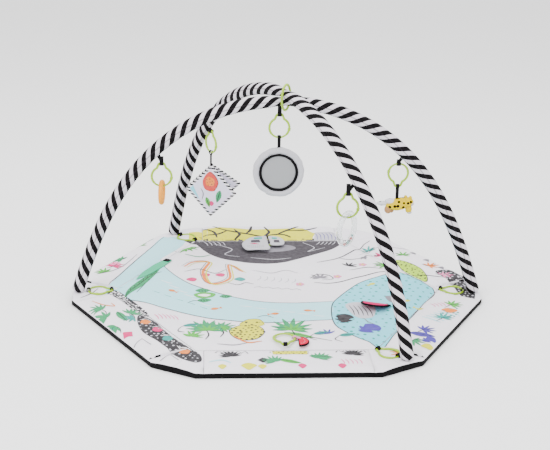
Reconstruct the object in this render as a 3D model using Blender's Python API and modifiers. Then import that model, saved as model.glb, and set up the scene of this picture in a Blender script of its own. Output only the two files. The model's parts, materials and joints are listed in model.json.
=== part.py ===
"""Activity play gym: a padded hexagonal mat with six fold-up sides, crossed padded arches and toys.

Metres, +Z up. The origin is the middle of the mat on the floor.
+X points to the mat's right corner and -Y to its front.
"""

import math

import bmesh
import bpy
import numpy as np
from mathutils import Matrix, Vector

# Mat: a hexagon with a corner on +X, a fold-up side on each edge and a gusset at each corner.
SIDE = 0.42  # hexagon's side, and its corners' distance from the middle
WING = 0.116  # width of each fold-up side
SIDE_INSET = 0.019  # a side's padding stops this far before the corner, to clear the arch's foot
BASE_THICKNESS = 0.002
PAD_HEIGHT = 0.022
PAD_SLOPE = 0.03  # width of the centre pad's sloping border
COVER_WALL = 0.0025
SEAM_HEIGHT = 0.015  # the fold line's height
GUSSET_HEIGHT = 0.012
GAP = 0.0005  # air between pieces that touch
SEAM_GAP = 0.0015

# Arches: each is a bent rod in a padded sleeve. Feet are given by their direction from the middle.
FOOT_RADIUS = {"lower": (0.511, 0.508), "upper": (0.506, 0.506)}
FOOT_HEIGHT = 0.017
FOOT_ANGLES = {"lower": (181.0, -2.5), "upper": (122.8, -57.2)}
ARCH_FOOT_SLOPE = math.radians(72.9)
SLEEVE_RADIUS = 0.0155
SLEEVE_WALL = 0.0045
ROD_RADIUS = 0.004
CROSSING_RADIUS = 0.0095  # the sleeves are squeezed to this where they cross
CROSSING_REACH = 0.035
CROWN = {"lower": 0.519, "upper": 0.519 + 2 * CROSSING_RADIUS + 0.0014}
BOW = {"lower": 0.0, "upper": 0.0145}  # how far the second half of an arch leans out of its plane
ARCH_POINTS = 23

# Snap links: a wire ring with a narrow neck.
LINK_RADIUS = 0.0245
LINK_NECK = 0.034  # the neck's top, above the ring's middle
LINK_WIRE = 0.0025
LINK_LENGTH = LINK_RADIUS + LINK_NECK

# Webbing loops
WEBBING = 0.0014
LOOP_HALF_OPENING = 0.0044
STRAP_WIDTH = 0.010
CORNER_HOLD = 0.0042  # a corner link's inner wire, out from the mat's corner

# Hanging toys
MIRROR_RADIUS = 0.0635
BEZEL_OUTER = 0.050
BEZEL_INNER = 0.0412
MIRROR_CENTRE_BELOW_LINK = 0.0895
MIRROR_THICKNESS = 0.016
TEETHER_RADIUS = 0.0255
TEETHER_TUBE = 0.006
BOOK_SIDE = 0.105
BOOK_LEAF = 0.005
BOOK_YAW = math.radians(-23)
BOOK_OPEN = math.radians(30)
BOOK_DROP = 0.034
RATTLE_RADIUS = 0.0370
RATTLE_TUBE = 0.0065
RATTLE_WALL = 0.0014
RATTLE_YAW = math.radians(55)
BEAD_RADIUS = 0.0038

# Toys on the mat
MAT_TOP = PAD_HEIGHT + GAP
SEAM_HOLD = 0.0062  # a mat link's wire, in from the fold line
LEAF_THICKNESS = 0.004
LEAF_LENGTH = 0.165
LEAF_HALF_WIDTH = 0.014
FLAP_YAW = math.radians(-20)
FLAP_TILT = math.radians(16)

UP = Vector((0, 0, 1))


def fresh_scene():
    for found in list(bpy.data.objects):
        bpy.data.objects.remove(found, do_unlink=True)
    made = {}
    for title in ("activity_play_gym", "cutters"):
        made[title] = bpy.data.collections.new(title)
        bpy.context.scene.collection.children.link(made[title])
    return made["activity_play_gym"], made["cutters"]


PARTS, CUTTERS = fresh_scene()


def finish(name, colour, roughness=0.85, metallic=0.0):
    """A plain material for one kind of surface."""
    material = bpy.data.materials.get(name) or bpy.data.materials.new(name)
    material.use_nodes = True
    shader = material.node_tree.nodes["Principled BSDF"]
    shader.inputs["Base Color"].default_value = (*colour, 1)
    shader.inputs["Roughness"].default_value = roughness
    shader.inputs["Metallic"].default_value = metallic
    return material


WHITE_COTTON = finish("white_cotton", (0.80, 0.77, 0.82))
BLACK_BACKING = finish("black_backing", (0.012, 0.011, 0.012))
FIBRE_FILL = finish("fibre_fill", (0.85, 0.85, 0.83), 1.0)
STRIPED_SLEEVE = finish("striped_sleeve", (0.35, 0.33, 0.35))
GLASS_FIBRE = finish("glass_fibre", (0.75, 0.72, 0.62), 0.4)
BLACK_WEBBING = finish("black_webbing", (0.01, 0.01, 0.01))
LIME_PLASTIC = finish("lime_plastic", (0.40, 0.60, 0.03), 0.35)
MIRROR_FOIL = finish("mirror_foil", (0.55, 0.55, 0.56), 0.08, 1.0)
ORANGE_RUBBER = finish("orange_rubber", (0.85, 0.40, 0.03), 0.45)
CLEAR_PLASTIC = finish("clear_plastic", (0.85, 0.88, 0.90), 0.15)
RED_BEAD = finish("red_bead", (0.60, 0.03, 0.06), 0.3)
PRINTED_COTTON = finish("printed_cotton", (0.62, 0.68, 0.72))
SPOTTED_PLUSH = finish("spotted_plush", (0.78, 0.65, 0.13), 0.95)
MAGENTA_PLUSH = finish("magenta_plush", (0.66, 0.03, 0.20), 0.9)
LEAF_COTTON = finish("leaf_cotton", (0.12, 0.48, 0.28))


def adopt(thing, name, material, collection=None):
    """Names an object, gives it its material and puts it in its collection."""
    thing.name = name
    thing.data.name = name
    thing.data.materials.clear()
    thing.data.materials.append(material)
    for held in list(thing.users_collection):
        held.objects.unlink(thing)
    (collection or PARTS).objects.link(thing)
    return thing


def frame(origin, x_axis, y_axis):
    """The matrix of a right-handed frame, from two of its axes."""
    x = Vector(x_axis).normalized()
    z = x.cross(Vector(y_axis)).normalized()
    y = z.cross(x)
    placed = Matrix((x, y, z)).transposed().to_4x4()
    placed.translation = Vector(origin)
    return placed


def turned(angle):
    """The horizontal direction at this angle from +X."""
    return Vector((math.cos(angle), math.sin(angle), 0))


def plate(name, outlines, thickness, placed, material):
    """A flat outline, with further outlines as its holes, thickened to both sides of its plane."""
    curve = bpy.data.curves.new(name, "CURVE")
    curve.dimensions = "2D"
    curve.fill_mode = "BOTH"
    curve.extrude = thickness / 2
    for outline in outlines:
        spline = curve.splines.new("POLY")
        spline.points.add(len(outline) - 1)
        for point, (x, y) in zip(spline.points, outline):
            point.co = (x, y, 0, 1)
        spline.use_cyclic_u = True
    made = adopt(bpy.data.objects.new(name, curve), name, material)
    made.matrix_world = placed
    return made


def tube(name, points, radius, material, closed=False, thinning=None, capped=True, sides=1):
    """A round tube along points; thinning scales its radius at each of them."""
    curve = bpy.data.curves.new(name, "CURVE")
    curve.dimensions = "3D"
    curve.bevel_depth = radius
    curve.bevel_resolution = sides
    curve.use_fill_caps = capped and not closed
    spline = curve.splines.new("POLY")
    spline.points.add(len(points) - 1)
    for index, (x, y, z) in enumerate(points):
        spline.points[index].co = (x, y, z, 1)
        spline.points[index].radius = 1.0 if thinning is None else thinning[index]
    spline.use_cyclic_u = closed
    return adopt(bpy.data.objects.new(name, curve), name, material)


def turned_shape(name, profile, placed, material, steps=24, closed=False):
    """A profile of (radius, height) points turned about its frame's Z axis."""
    mesh = bpy.data.meshes.new(name)
    edges = [(i, i + 1) for i in range(len(profile) - 1)]
    if closed:
        edges.append((len(profile) - 1, 0))
    mesh.from_pydata([(r, 0, z) for r, z in profile], edges, [])
    made = adopt(bpy.data.objects.new(name, mesh), name, material)
    made.matrix_world = placed
    screw = made.modifiers.new("turn", "SCREW")
    screw.steps = steps
    screw.render_steps = steps
    screw.use_merge_vertices = True
    screw.merge_threshold = 0.00005
    screw.use_smooth_shade = True
    screw.use_normal_flip = True
    return made


def solid_mesh(thing):
    """The object as a welded mesh, in place, so that it can take or make a Boolean."""
    bpy.context.view_layer.update()
    evaluated = thing.evaluated_get(bpy.context.evaluated_depsgraph_get())
    mesh = bpy.data.meshes.new_from_object(evaluated)
    welder = bmesh.new()
    welder.from_mesh(mesh)
    bmesh.ops.remove_doubles(welder, verts=welder.verts, dist=0.000005)
    bmesh.ops.recalc_face_normals(welder, faces=welder.faces)
    welder.to_mesh(mesh)
    welder.free()
    name, placed = thing.name, thing.matrix_world.copy()
    material = thing.data.materials[0]
    bpy.data.objects.remove(thing)
    made = adopt(bpy.data.objects.new(name, mesh), name, material)
    made.matrix_world = placed
    return made


def combine(target, tool, operation):
    """Joins tool to target, or cuts it from target, and keeps tool as a hidden guide."""
    tool.hide_render = True
    tool.display_type = "WIRE"
    for held in list(tool.users_collection):
        held.objects.unlink(tool)
    CUTTERS.objects.link(tool)
    modifier = target.modifiers.new(operation.lower(), "BOOLEAN")
    modifier.operation = operation
    modifier.solver = "EXACT"
    modifier.object = tool
    return target


def pivot(name, where):
    """An empty on a joint's axis, which carries the pieces that move there."""
    empty = bpy.data.objects.new(name, None)
    empty.empty_display_size = 0.01
    empty.matrix_world = Matrix.Translation(where)
    PARTS.objects.link(empty)
    return empty


def carry(empty, *things):
    for thing in things:
        thing.parent = empty
        thing.matrix_parent_inverse = Matrix.Translation(-empty.location)


# ---------------------------------------------------------------- mat

CORNERS = {
    "right": 0,
    "back_right": 60,
    "back_left": 120,
    "left": 180,
    "front_left": 240,
    "front_right": 300,
}
SIDES = {
    "right_back": 30,
    "back": 90,
    "left_back": 150,
    "left_front": 210,
    "front": 270,
    "right_front": 330,
}
APOTHEM = SIDE * math.cos(math.radians(30))


def hexagon(radius):
    return [turned(math.radians(a)).xy * radius for a in CORNERS.values()]


def hex_loft(name, levels, material):
    """A closed hexagonal solid through levels given as (corner radius, height)."""
    shape = bmesh.new()
    rings = []
    for radius, height in levels:
        rings.append([shape.verts.new((x, y, height)) for x, y in hexagon(radius)])
    for below, above in zip(rings, rings[1:]):
        for i in range(6):
            j = (i + 1) % 6
            shape.faces.new((below[i], below[j], above[j], above[i]))
    shape.faces.new(rings[0][::-1])
    shape.faces.new(rings[-1])
    mesh = bpy.data.meshes.new(name)
    shape.to_mesh(mesh)
    shape.free()
    return adopt(bpy.data.objects.new(name, mesh), name, material)


def build_centre():
    """Backing cloth, wadding and the printed cover that closes over it."""
    radius = SIDE - SEAM_GAP
    flat = Matrix.Translation((0, 0, BASE_THICKNESS / 2))
    plate("base_cloth", [hexagon(radius)], BASE_THICKNESS, flat, BLACK_BACKING)
    low, edge = BASE_THICKNESS + GAP, SEAM_HEIGHT - GAP
    outside = [(radius, low), (radius, edge), (radius - PAD_SLOPE, PAD_HEIGHT)]
    cover = hex_loft("centre_cover", outside, WHITE_COTTON)
    inner, top = radius - COVER_WALL, PAD_HEIGHT - COVER_WALL
    inside = [(inner, low - 0.001), (inner, edge - COVER_WALL), (inner - PAD_SLOPE, top)]
    combine(cover, hex_loft("cover_hollow", inside, FIBRE_FILL), "DIFFERENCE")
    fill = [(r - 2 * GAP, z - GAP) for r, z in inside[1:]]
    hex_loft("centre_wadding", [(fill[0][0], low)] + fill, FIBRE_FILL)


def build_side(name, degrees):
    """One fold-up side: a padded panel hinged on the seam of the hexagon."""
    outward = turned(math.radians(degrees))
    section = [
        (SEAM_GAP, 0),
        (WING, 0),
        (WING, GUSSET_HEIGHT),
        (WING - 0.012, PAD_HEIGHT),
        (0.028, PAD_HEIGHT),
        (SEAM_GAP, SEAM_HEIGHT - GAP),
    ]
    placed = frame(outward * APOTHEM, outward, UP)
    panel = plate("side_" + name, [section], SIDE - 2 * SIDE_INSET, placed, WHITE_COTTON)
    carry(pivot("fold_" + name, outward * APOTHEM + UP * SEAM_HEIGHT), panel)


def build_gusset(name, degrees):
    """The flat corner piece between two fold-up sides."""
    outline = [(0, 0)]
    for turn in (1, -1):
        ray = Vector((math.cos(math.pi / 6), turn * math.sin(math.pi / 6)))
        along = Vector((-ray.y * turn, ray.x * turn)) * (SIDE_INSET - GAP)
        stretch = [along, along + ray * WING, ray * WING]
        outline += stretch if turn == 1 else stretch[::-1]
    outward = turned(math.radians(degrees))
    placed = frame(outward * SIDE + UP * GUSSET_HEIGHT / 2, outward, UP.cross(outward))
    plate("gusset_" + name, [outline], GUSSET_HEIGHT, placed, WHITE_COTTON)


# ---------------------------------------------------------------- arches


def bent_rod():
    """Arc fraction, reach and height, each from 0 to 1, of half an arch: its slope falls as a cosine."""
    fraction = np.linspace(0, 1, 201)
    slope = ARCH_FOOT_SLOPE * np.cos(fraction * math.pi / 2)
    reach, height = np.zeros(201), np.zeros(201)
    for made, rate in ((reach, np.cos(slope)), (height, np.sin(slope))):
        made[1:] = np.cumsum((rate[1:] + rate[:-1]) / 2)
    return fraction, reach / reach[-1], height / height[-1]


ROD = bent_rod()
ARCH_LENGTH = 1.58


def foot(arch, end):
    return turned(math.radians(FOOT_ANGLES[arch][end])) * FOOT_RADIUS[arch][end] + UP * FOOT_HEIGHT


def arch_point(arch, fraction):
    """The point this far along an arch, from 0 at its first foot to 1 at its second."""
    half = 2 * min(fraction, 1 - fraction)
    reach = float(np.interp(half, ROD[0], ROD[1])) / 2
    height = float(np.interp(half, ROD[0], ROD[2]))
    first, second = foot(arch, 0), foot(arch, 1)
    point = first.lerp(second, reach if fraction <= 0.5 else 1 - reach)
    point.z = FOOT_HEIGHT + (CROWN[arch] - FOOT_HEIGHT) * height
    past = max(0.0, 2 * fraction - 1)
    lean = BOW[arch] * math.sin(math.pi * past / 0.72) * (1 - past * past)
    return point + (second - first).cross(UP).normalized() * lean


def crossing():
    """Where the two arches cross, seen from above."""
    (a, b), (c, d) = ([foot(arch, end).xy for end in (0, 1)] for arch in ("lower", "upper"))
    along, across = b - a, d - c
    share = (c - a).cross(across) / along.cross(across)
    return a + along * share


CROSS = crossing()


def squeeze(point):
    """The sleeve's thickness here, as a share of its full one."""
    away = (point.xy - CROSS).length / CROSSING_REACH
    return 1 - (1 - CROSSING_RADIUS / SLEEVE_RADIUS) * math.exp(-away * away)


def arch_fractions(arch):
    """Even steps along an arch, with closer ones where it is squeezed."""
    first, second = foot(arch, 0).xy, foot(arch, 1).xy
    span = (second - first).length
    middle = 0.5 + ((CROSS - first).length / span - 0.5) * span / ARCH_LENGTH
    close = [middle + step for step in (-0.032, -0.021, -0.012, -0.005, 0, 0.005, 0.012, 0.021, 0.032)]
    even = [i / (ARCH_POINTS - 1) for i in range(ARCH_POINTS)]
    return sorted([f for f in even if abs(f - middle) > 0.045] + close)


def build_arch(arch):
    points = [arch_point(arch, f) for f in arch_fractions(arch)]
    sleeve = tube(
        "sleeve_" + arch,
        points,
        SLEEVE_RADIUS,
        STRIPED_SLEEVE,
        thinning=[squeeze(p) for p in points],
        capped=False,
        sides=2,
    )
    wall = sleeve.modifiers.new("wall", "SOLIDIFY")
    wall.thickness = SLEEVE_WALL
    wall.offset = -1
    tuck = 0.003
    inside = [tuck + (1 - 2 * tuck) * f for f in arch_fractions(arch)]
    tube("rod_" + arch, [arch_point(arch, f) for f in inside], ROD_RADIUS, GLASS_FIBRE)


def sewn_point(arch, fraction, roll=0.0, off=GAP):
    """A point just off the sleeve where a strap is sewn: its lower side, rolled towards the front."""
    step = 0.004
    centre = arch_point(arch, fraction)
    along = (arch_point(arch, fraction + step) - arch_point(arch, fraction - step)).normalized()
    front = UP.cross(along).normalized()
    if front.y > 0:
        front = -front
    under = along.cross(front).normalized()
    if under.z > 0:
        under = -under
    out = under * math.cos(roll) + front * math.sin(roll)
    return centre + out * (SLEEVE_RADIUS * squeeze(centre) + off)


# ---------------------------------------------------------------- webbing and links


def stadium(half_width, low, high, count=4):
    """A slot outline with round ends, from height low to height high."""
    outline = []
    for end, start in ((high - half_width, 0), (low + half_width, math.pi)):
        for i in range(count + 1):
            angle = start + math.pi * i / count
            outline.append((half_width * math.cos(angle), end + half_width * math.sin(angle)))
    return outline


def webbing_loop(name, placed, low, high, half_opening=LOOP_HALF_OPENING, width=STRAP_WIDTH):
    """A loop of webbing whose opening runs along its frame's Z, from low to high along its Y."""
    outer = stadium(half_opening + WEBBING, low, high)
    inner = stadium(half_opening, low + WEBBING, high - WEBBING)
    return plate(name, [outer, inner], width, placed, BLACK_WEBBING)


def strap(name, placed, tail, width=STRAP_WIDTH, opening=LOOP_HALF_OPENING):
    """Webbing folded round a wire at its frame's origin, with its two layers sewn into a tail along Y."""
    outer_radius = opening + WEBBING
    start = math.acos(WEBBING / outer_radius)
    count = 9
    outer = []
    for i in range(count + 1):
        angle = start - (math.pi + 2 * start) * i / count
        outer.append((outer_radius * math.cos(angle), outer_radius * math.sin(angle)))
    way = 1 if tail > 0 else -1
    outer = [(x, way * y) for x, y in outer] + [(-WEBBING, tail), (WEBBING, tail)]
    inner = []
    for i in range(8):
        angle = 2 * math.pi * i / 8
        inner.append((opening * math.cos(angle), opening * math.sin(angle)))
    return plate(name, [outer, inner], width, placed, BLACK_WEBBING)


def link_points():
    """A ring that opens at its top into a narrow neck."""
    start = math.radians(28)
    count = 14
    points = []
    for i in range(count + 1):
        angle = start + (2 * math.pi - 2 * start) * i / count
        points.append((LINK_RADIUS * math.sin(angle), LINK_RADIUS * math.cos(angle), 0))
    neck = [(0.0088, 0.0285), (0.0062, LINK_NECK)]
    points += [(-x, y, 0) for x, y in neck]
    points += [(x, y, 0) for x, y in reversed(neck)]
    return points


def link(name, placed):
    made = tube(name, link_points(), LINK_WIRE, LIME_PLASTIC, closed=True)
    made.matrix_world = placed
    return made


def build_corner(name, arch, end):
    """Where an arch stands: a loop on the mat's corner, a loop on the foot and the link between them."""
    corner = turned(math.radians(CORNERS[name])) * SIDE
    stand = foot(arch, end)
    outward = Vector((stand.x - corner.x, stand.y - corner.y, 0)).normalized()
    aside = UP.cross(outward)
    below = WEBBING + LINK_WIRE + 0.0012
    wire_height = GUSSET_HEIGHT + GAP + below
    held = corner + outward * CORNER_HOLD + UP * wire_height
    webbing_loop("corner_loop_" + name, frame(held, outward, UP), -below, 0.0075, 0.0036)
    far = held + outward * LINK_LENGTH
    webbing_loop("foot_loop_" + name, frame(far, outward, UP), -below, 0.0085, 0.0042)
    clip = link("corner_link_" + name, frame(held + outward * LINK_NECK, aside, -outward))
    carry(pivot("lift_" + name, held), clip)


def build_crown_ring():
    """A large ring round both arches, square to the line that halves their angle."""
    lower, upper = (foot(arch, 1).xy - foot(arch, 0).xy for arch in ("lower", "upper"))
    middle = (lower.normalized() + upper.normalized()).to_3d()
    centre = CROSS.to_3d() + UP * (CROWN["lower"] + CROWN["upper"]) / 2
    half_height, half_width, count = 0.0315, 0.024, 18
    points = []
    for i in range(count):
        angle = 2 * math.pi * i / count
        points.append((half_width * math.cos(angle), half_height * math.sin(angle), 0))
    ring = tube("crown_ring", points, LINK_WIRE, LIME_PLASTIC, closed=True)
    ring.matrix_world = frame(centre, UP.cross(middle), UP)


def hang_link(name, top, length, yaw=0.0, neck_up=True, shortening=0.004):
    """A strap hung from a point on a sleeve and the link that swings in it. Returns the link's lower wire."""
    wire = top - UP * length
    across = turned(yaw)
    strap(name + "_strap", frame(wire, across.cross(UP), UP), length - shortening)
    drop = LINK_NECK if neck_up else LINK_RADIUS
    up = UP if neck_up else -UP
    ring = link(name + "_link", frame(wire - UP * drop, across if neck_up else -across, up))
    carry(pivot(name + "_swing", wire), ring)
    return wire - UP * LINK_LENGTH


def toy_strap(name, wire, across, tail, width=STRAP_WIDTH):
    """The strap a toy hangs by, round the lower wire of its link, as a mesh to be joined to the toy."""
    return solid_mesh(strap(name, frame(wire, across.cross(UP), UP), -tail, width))


# ---------------------------------------------------------------- hanging toys


def build_mirror():
    wire = hang_link("mirror", sewn_point("lower", 0.4982), 0.0213, shortening=0.002)
    placed = frame(wire - UP * MIRROR_CENTRE_BELOW_LINK, (1, 0, 0), UP)
    half, edge = MIRROR_THICKNESS / 2, 0.0565
    cushion = [
        (0, -half),
        (edge, -half),
        (MIRROR_RADIUS - 0.002, -half / 2),
        (MIRROR_RADIUS, 0),
        (MIRROR_RADIUS - 0.002, half / 2),
        (edge, half),
        (BEZEL_OUTER + GAP, half),
        (BEZEL_OUTER + GAP, 0),
        (0, 0),
    ]
    body = solid_mesh(turned_shape("mirror_cushion", cushion, placed, WHITE_COTTON))
    tail = MIRROR_CENTRE_BELOW_LINK - MIRROR_RADIUS + 0.005
    combine(body, toy_strap("mirror_toy_strap", wire, Vector((1, 0, 0)), tail), "UNION")
    bezel = [(BEZEL_INNER, GAP), (BEZEL_OUTER, GAP), (BEZEL_OUTER, half), (BEZEL_INNER, half)]
    rim = turned_shape("mirror_bezel", bezel, placed, BLACK_BACKING, closed=True)
    pane = [(0, GAP), (BEZEL_INNER - GAP, GAP), (BEZEL_INNER - GAP, 0.0035), (0, 0.0035)]
    glass = turned_shape("mirror_pane", pane, placed, MIRROR_FOIL)
    carry(pivot("mirror_toy_swing", wire), body, rim, glass)


def round_ring(name, major, minor, placed, material, segments=22):
    bpy.ops.mesh.primitive_torus_add(
        major_segments=segments, minor_segments=8, major_radius=major, minor_radius=minor
    )
    made = adopt(bpy.context.active_object, name, material)
    made.matrix_world = placed
    return made


def build_teether():
    wire = hang_link("teether", sewn_point("lower", 0.2889), 0.0265, shortening=0.0085)
    centre = wire + UP * (LINK_WIRE + GAP + TEETHER_TUBE - TEETHER_RADIUS)
    across = turned(math.radians(84))
    ring = round_ring(
        "teether_ring", TEETHER_RADIUS, TEETHER_TUBE, frame(centre, across, UP), ORANGE_RUBBER
    )
    carry(pivot("teether_ring_swing", wire), ring)


def build_book():
    """Two padded leaves sewn along their upper left edge, hung by their top corner."""
    arch_yaw = math.radians(FOOT_ANGLES["upper"][1])
    wire = hang_link("book", sewn_point("upper", 0.268), 0.0125, yaw=arch_yaw, shortening=0.0075)
    top = wire - UP * BOOK_DROP
    across = turned(BOOK_YAW)
    spine = (-across - UP).normalized()
    outward = (across - UP).normalized()
    square = [(0.002, 0), (BOOK_SIDE, 0), (BOOK_SIDE, BOOK_SIDE), (0.002, BOOK_SIDE)]
    leaf = solid_mesh(plate("book_front", [square], BOOK_LEAF, frame(top, outward, spine), PRINTED_COTTON))
    tape = toy_strap("book_toy_strap", wire, turned(arch_yaw), BOOK_DROP + 0.010, width=0.005)
    combine(leaf, tape, "UNION")
    away = outward.cross(spine).normalized()
    if away.y < 0:
        away = -away
    hinge = top + away * (BOOK_LEAF / 2 + GAP)
    turn = 1 if spine.cross(outward).dot(away) > 0 else -1
    opened = Matrix.Rotation(turn * BOOK_OPEN, 3, spine) @ outward
    second = frame(hinge, opened, spine)
    depth = BOOK_LEAF / 2 + GAP
    side = depth if second.col[2].xyz.dot(away) > 0 else -depth
    second = second @ Matrix.Translation((0, 0, side))
    page = plate("book_back", [square], BOOK_LEAF, second, PRINTED_COTTON)
    carry(pivot("book_toy_swing", wire), leaf)
    carry(pivot("book_page_turn", hinge), page)


def build_rattle():
    """A clear hollow ring with a slit round its inner side, and a bead loose inside it."""
    top = sewn_point("upper", 0.718, roll=math.radians(58), off=0.003)
    wire = hang_link("rattle", top, 0.0324, shortening=0.009)
    centre = wire + UP * (LINK_WIRE + GAP + RATTLE_TUBE - RATTLE_RADIUS)
    placed = frame(centre, turned(RATTLE_YAW), UP)
    slit = math.radians(9)
    section = []
    for radius, count, way in ((RATTLE_TUBE, 8, 1), (RATTLE_TUBE - RATTLE_WALL, 7, -1)):
        for i in range(count + 1):
            angle = math.pi + way * (slit + (2 * math.pi - 2 * slit) * i / count)
            section.append((RATTLE_RADIUS + radius * math.cos(angle), radius * math.sin(angle)))
    ring = turned_shape("rattle_ring", section, placed, CLEAR_PLASTIC, closed=True)
    carry(pivot("rattle_ring_swing", wire), ring)
    shape = bmesh.new()
    bmesh.ops.create_icosphere(shape, subdivisions=1, radius=BEAD_RADIUS)
    mesh = bpy.data.meshes.new("rattle_bead")
    shape.to_mesh(mesh)
    shape.free()
    bead = adopt(bpy.data.objects.new("rattle_bead", mesh), "rattle_bead", RED_BEAD)
    bead.matrix_world = Matrix.Translation(centre - UP * RATTLE_RADIUS)
    carry(pivot("rattle_bead_orbit", centre), bead)


def egg(name, centre, radii, material):
    """An ellipsoid, scaled in its mesh."""
    shape = bmesh.new()
    bmesh.ops.create_uvsphere(shape, u_segments=12, v_segments=7, radius=1)
    mesh = bpy.data.meshes.new(name)
    shape.to_mesh(mesh)
    shape.free()
    mesh.transform(Matrix.Diagonal((*radii, 1)))
    made = adopt(bpy.data.objects.new(name, mesh), name, material)
    made.matrix_world = Matrix.Translation(centre)
    return made


def build_plush():
    """A stuffed spotted animal, hung by its back."""
    wire = hang_link("plush", sewn_point("lower", 0.715), 0.0195, neck_up=False, shortening=0.0085)
    middle = wire - UP * 0.0485
    body = egg("plush_body", middle, (0.028, 0.014, 0.0155), SPOTTED_PLUSH)
    limbs = {
        "head": ((0.028, 0, 0.006), (0.015, 0.012, 0.0165)),
        "tail": ((-0.036, 0, 0.002), (0.016, 0.005, 0.006)),
        "hind_leg": ((-0.021, 0, -0.013), (0.010, 0.009, 0.011)),
        "paw": ((0.034, 0, -0.013), (0.009, 0.009, 0.011)),
    }
    for limb, (offset, radii) in limbs.items():
        combine(body, egg("plush_" + limb, middle + Vector(offset), radii, SPOTTED_PLUSH), "UNION")
    combine(body, toy_strap("plush_toy_strap", wire, Vector((1, 0, 0)), 0.038, width=0.008), "UNION")
    carry(pivot("plush_toy_swing", wire), body)


# ---------------------------------------------------------------- toys on the mat


def mat_link(name, aside, inward, width):
    """A link held flat on the mat by a loop sewn in the seam. Returns the wire in the loop."""
    below = WEBBING + LINK_WIRE + 0.0012
    wire = -inward * (APOTHEM - SEAM_HOLD) + Vector((aside, 0, MAT_TOP + below))
    webbing_loop(name + "_loop", frame(wire, inward, UP), -below, 0.0058, 0.0036, width)
    ring = link(name + "_link", frame(wire + inward * LINK_NECK, UP.cross(inward), -inward))
    carry(pivot(name + "_lift", wire), ring)
    return wire


def build_front_toy():
    """A fabric fruit slice on a link, lying by the front seam."""
    wire = mat_link("front", -0.002, Vector((0, 1, 0)), STRAP_WIDTH)
    hinge = wire + Vector((LINK_RADIUS, LINK_NECK, 0))
    radius, thickness = 0.026, 0.005
    angles = np.linspace(-math.pi / 2, math.pi / 2, 9)
    arc = [(radius * math.cos(a), radius * math.sin(a)) for a in angles]
    placed = Matrix.Translation(hinge + Vector((0.0075, -0.014, -0.003)))
    body = solid_mesh(plate("fruit_slice", [arc], thickness, placed, MAGENTA_PLUSH))
    tab = strap("slice_strap", frame(hinge, (0, 0, 1), (1, 0, 0)), 0.014, 0.008, 0.0038)
    combine(body, solid_mesh(tab), "UNION")
    carry(pivot("fruit_slice_lift", hinge), body)


def build_back_toys():
    """Two stiff printed shapes on a link, lying by the back seam."""
    wire = mat_link("back", -0.008, Vector((0, -1, 0)), 0.004)
    thickness = 0.004
    level = LINK_WIRE + GAP + thickness / 2
    outlines = {
        "left": [
            (0.0012, -0.003),
            (0.0040, -0.060),
            (0.0060, -0.105),
            (-0.060, -0.110),
            (-0.070, -0.062),
            (-0.045, -0.014),
            (-0.014, -0.003),
        ],
        "right": [
            (-0.0020, -0.003),
            (0.024, -0.006),
            (0.041, -0.034),
            (0.037, -0.070),
            (0.0035, -0.072),
            (0.0010, -0.050),
        ],
    }
    for which, aside in (("left", -0.0042), ("right", 0.0042)):
        hinge = wire + Vector((aside, 0, 0))
        placed = Matrix.Translation(hinge + UP * level)
        sheet = solid_mesh(plate("back_toy_" + which, [outlines[which]], thickness, placed, PRINTED_COTTON))
        size = LOOP_HALF_OPENING + WEBBING
        ring = webbing_loop(
            "back_toy_loop_" + which, frame(hinge, (0, 0, 1), (0, 1, 0)), -size, size, width=0.003
        )
        combine(sheet, solid_mesh(ring), "UNION")
        carry(pivot("back_toy_lift_" + which, hinge), sheet)


def build_wing_flap():
    """A padded wing on the mat, sewn along its back edge and standing a little open."""
    hinge = Vector((0.243, -0.112, MAT_TOP + 0.0026))
    outline = [
        (0.037 * math.cos(a), -0.002 - 0.056 * math.sin(a) ** 0.7) for a in np.linspace(0, math.pi, 9)
    ]
    placed = (
        Matrix.Translation(hinge)
        @ Matrix.Rotation(FLAP_YAW, 4, "Z")
        @ Matrix.Rotation(-FLAP_TILT, 4, "X")
    )
    wing = plate("wing_flap", [outline], 0.005, placed, MAGENTA_PLUSH)
    carry(pivot("wing_flap_lift", hinge), wing)


def build_leaf():
    """A cloth leaf on the mat beside the left back fold, sewn down at its tab end."""
    seam = turned(math.radians(150))
    along = UP.cross(seam)
    level = MAT_TOP + LEAF_THICKNESS / 2
    hinge = seam * (APOTHEM - LEAF_HALF_WIDTH - 0.007) - along * 0.028 + UP * level
    half = [(0.001, 0.8), (0.3, 1), (0.7, 0.8)]
    upper = [(x * LEAF_LENGTH if x > 0.01 else x, y * LEAF_HALF_WIDTH) for x, y in half]
    outline = upper + [(LEAF_LENGTH, 0)] + [(x, -y) for x, y in reversed(upper)]
    leaf = plate("leaf_flap", [outline], LEAF_THICKNESS, frame(hinge, along, -seam), LEAF_COTTON)
    carry(pivot("leaf_flap_lift", hinge), leaf)


def main():
    build_centre()
    for name, degrees in SIDES.items():
        build_side(name, degrees)
    for name, degrees in CORNERS.items():
        build_gusset(name, degrees)
    for arch in FOOT_ANGLES:
        build_arch(arch)
    for end, name in enumerate(("left", "right")):
        build_corner(name, "lower", end)
    for end, name in enumerate(("back_left", "front_right")):
        build_corner(name, "upper", end)
    build_crown_ring()
    build_mirror()
    build_teether()
    build_book()
    build_rattle()
    build_plush()
    build_front_toy()
    build_back_toys()
    build_wing_flap()
    build_leaf()


main()
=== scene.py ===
"""Builds the finished look of the activity play gym as a Blender add-on, run as a script."""

import json
import math
import random

import bmesh
import bpy
import numpy as np
from mathutils import Matrix, Vector, noise

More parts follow.
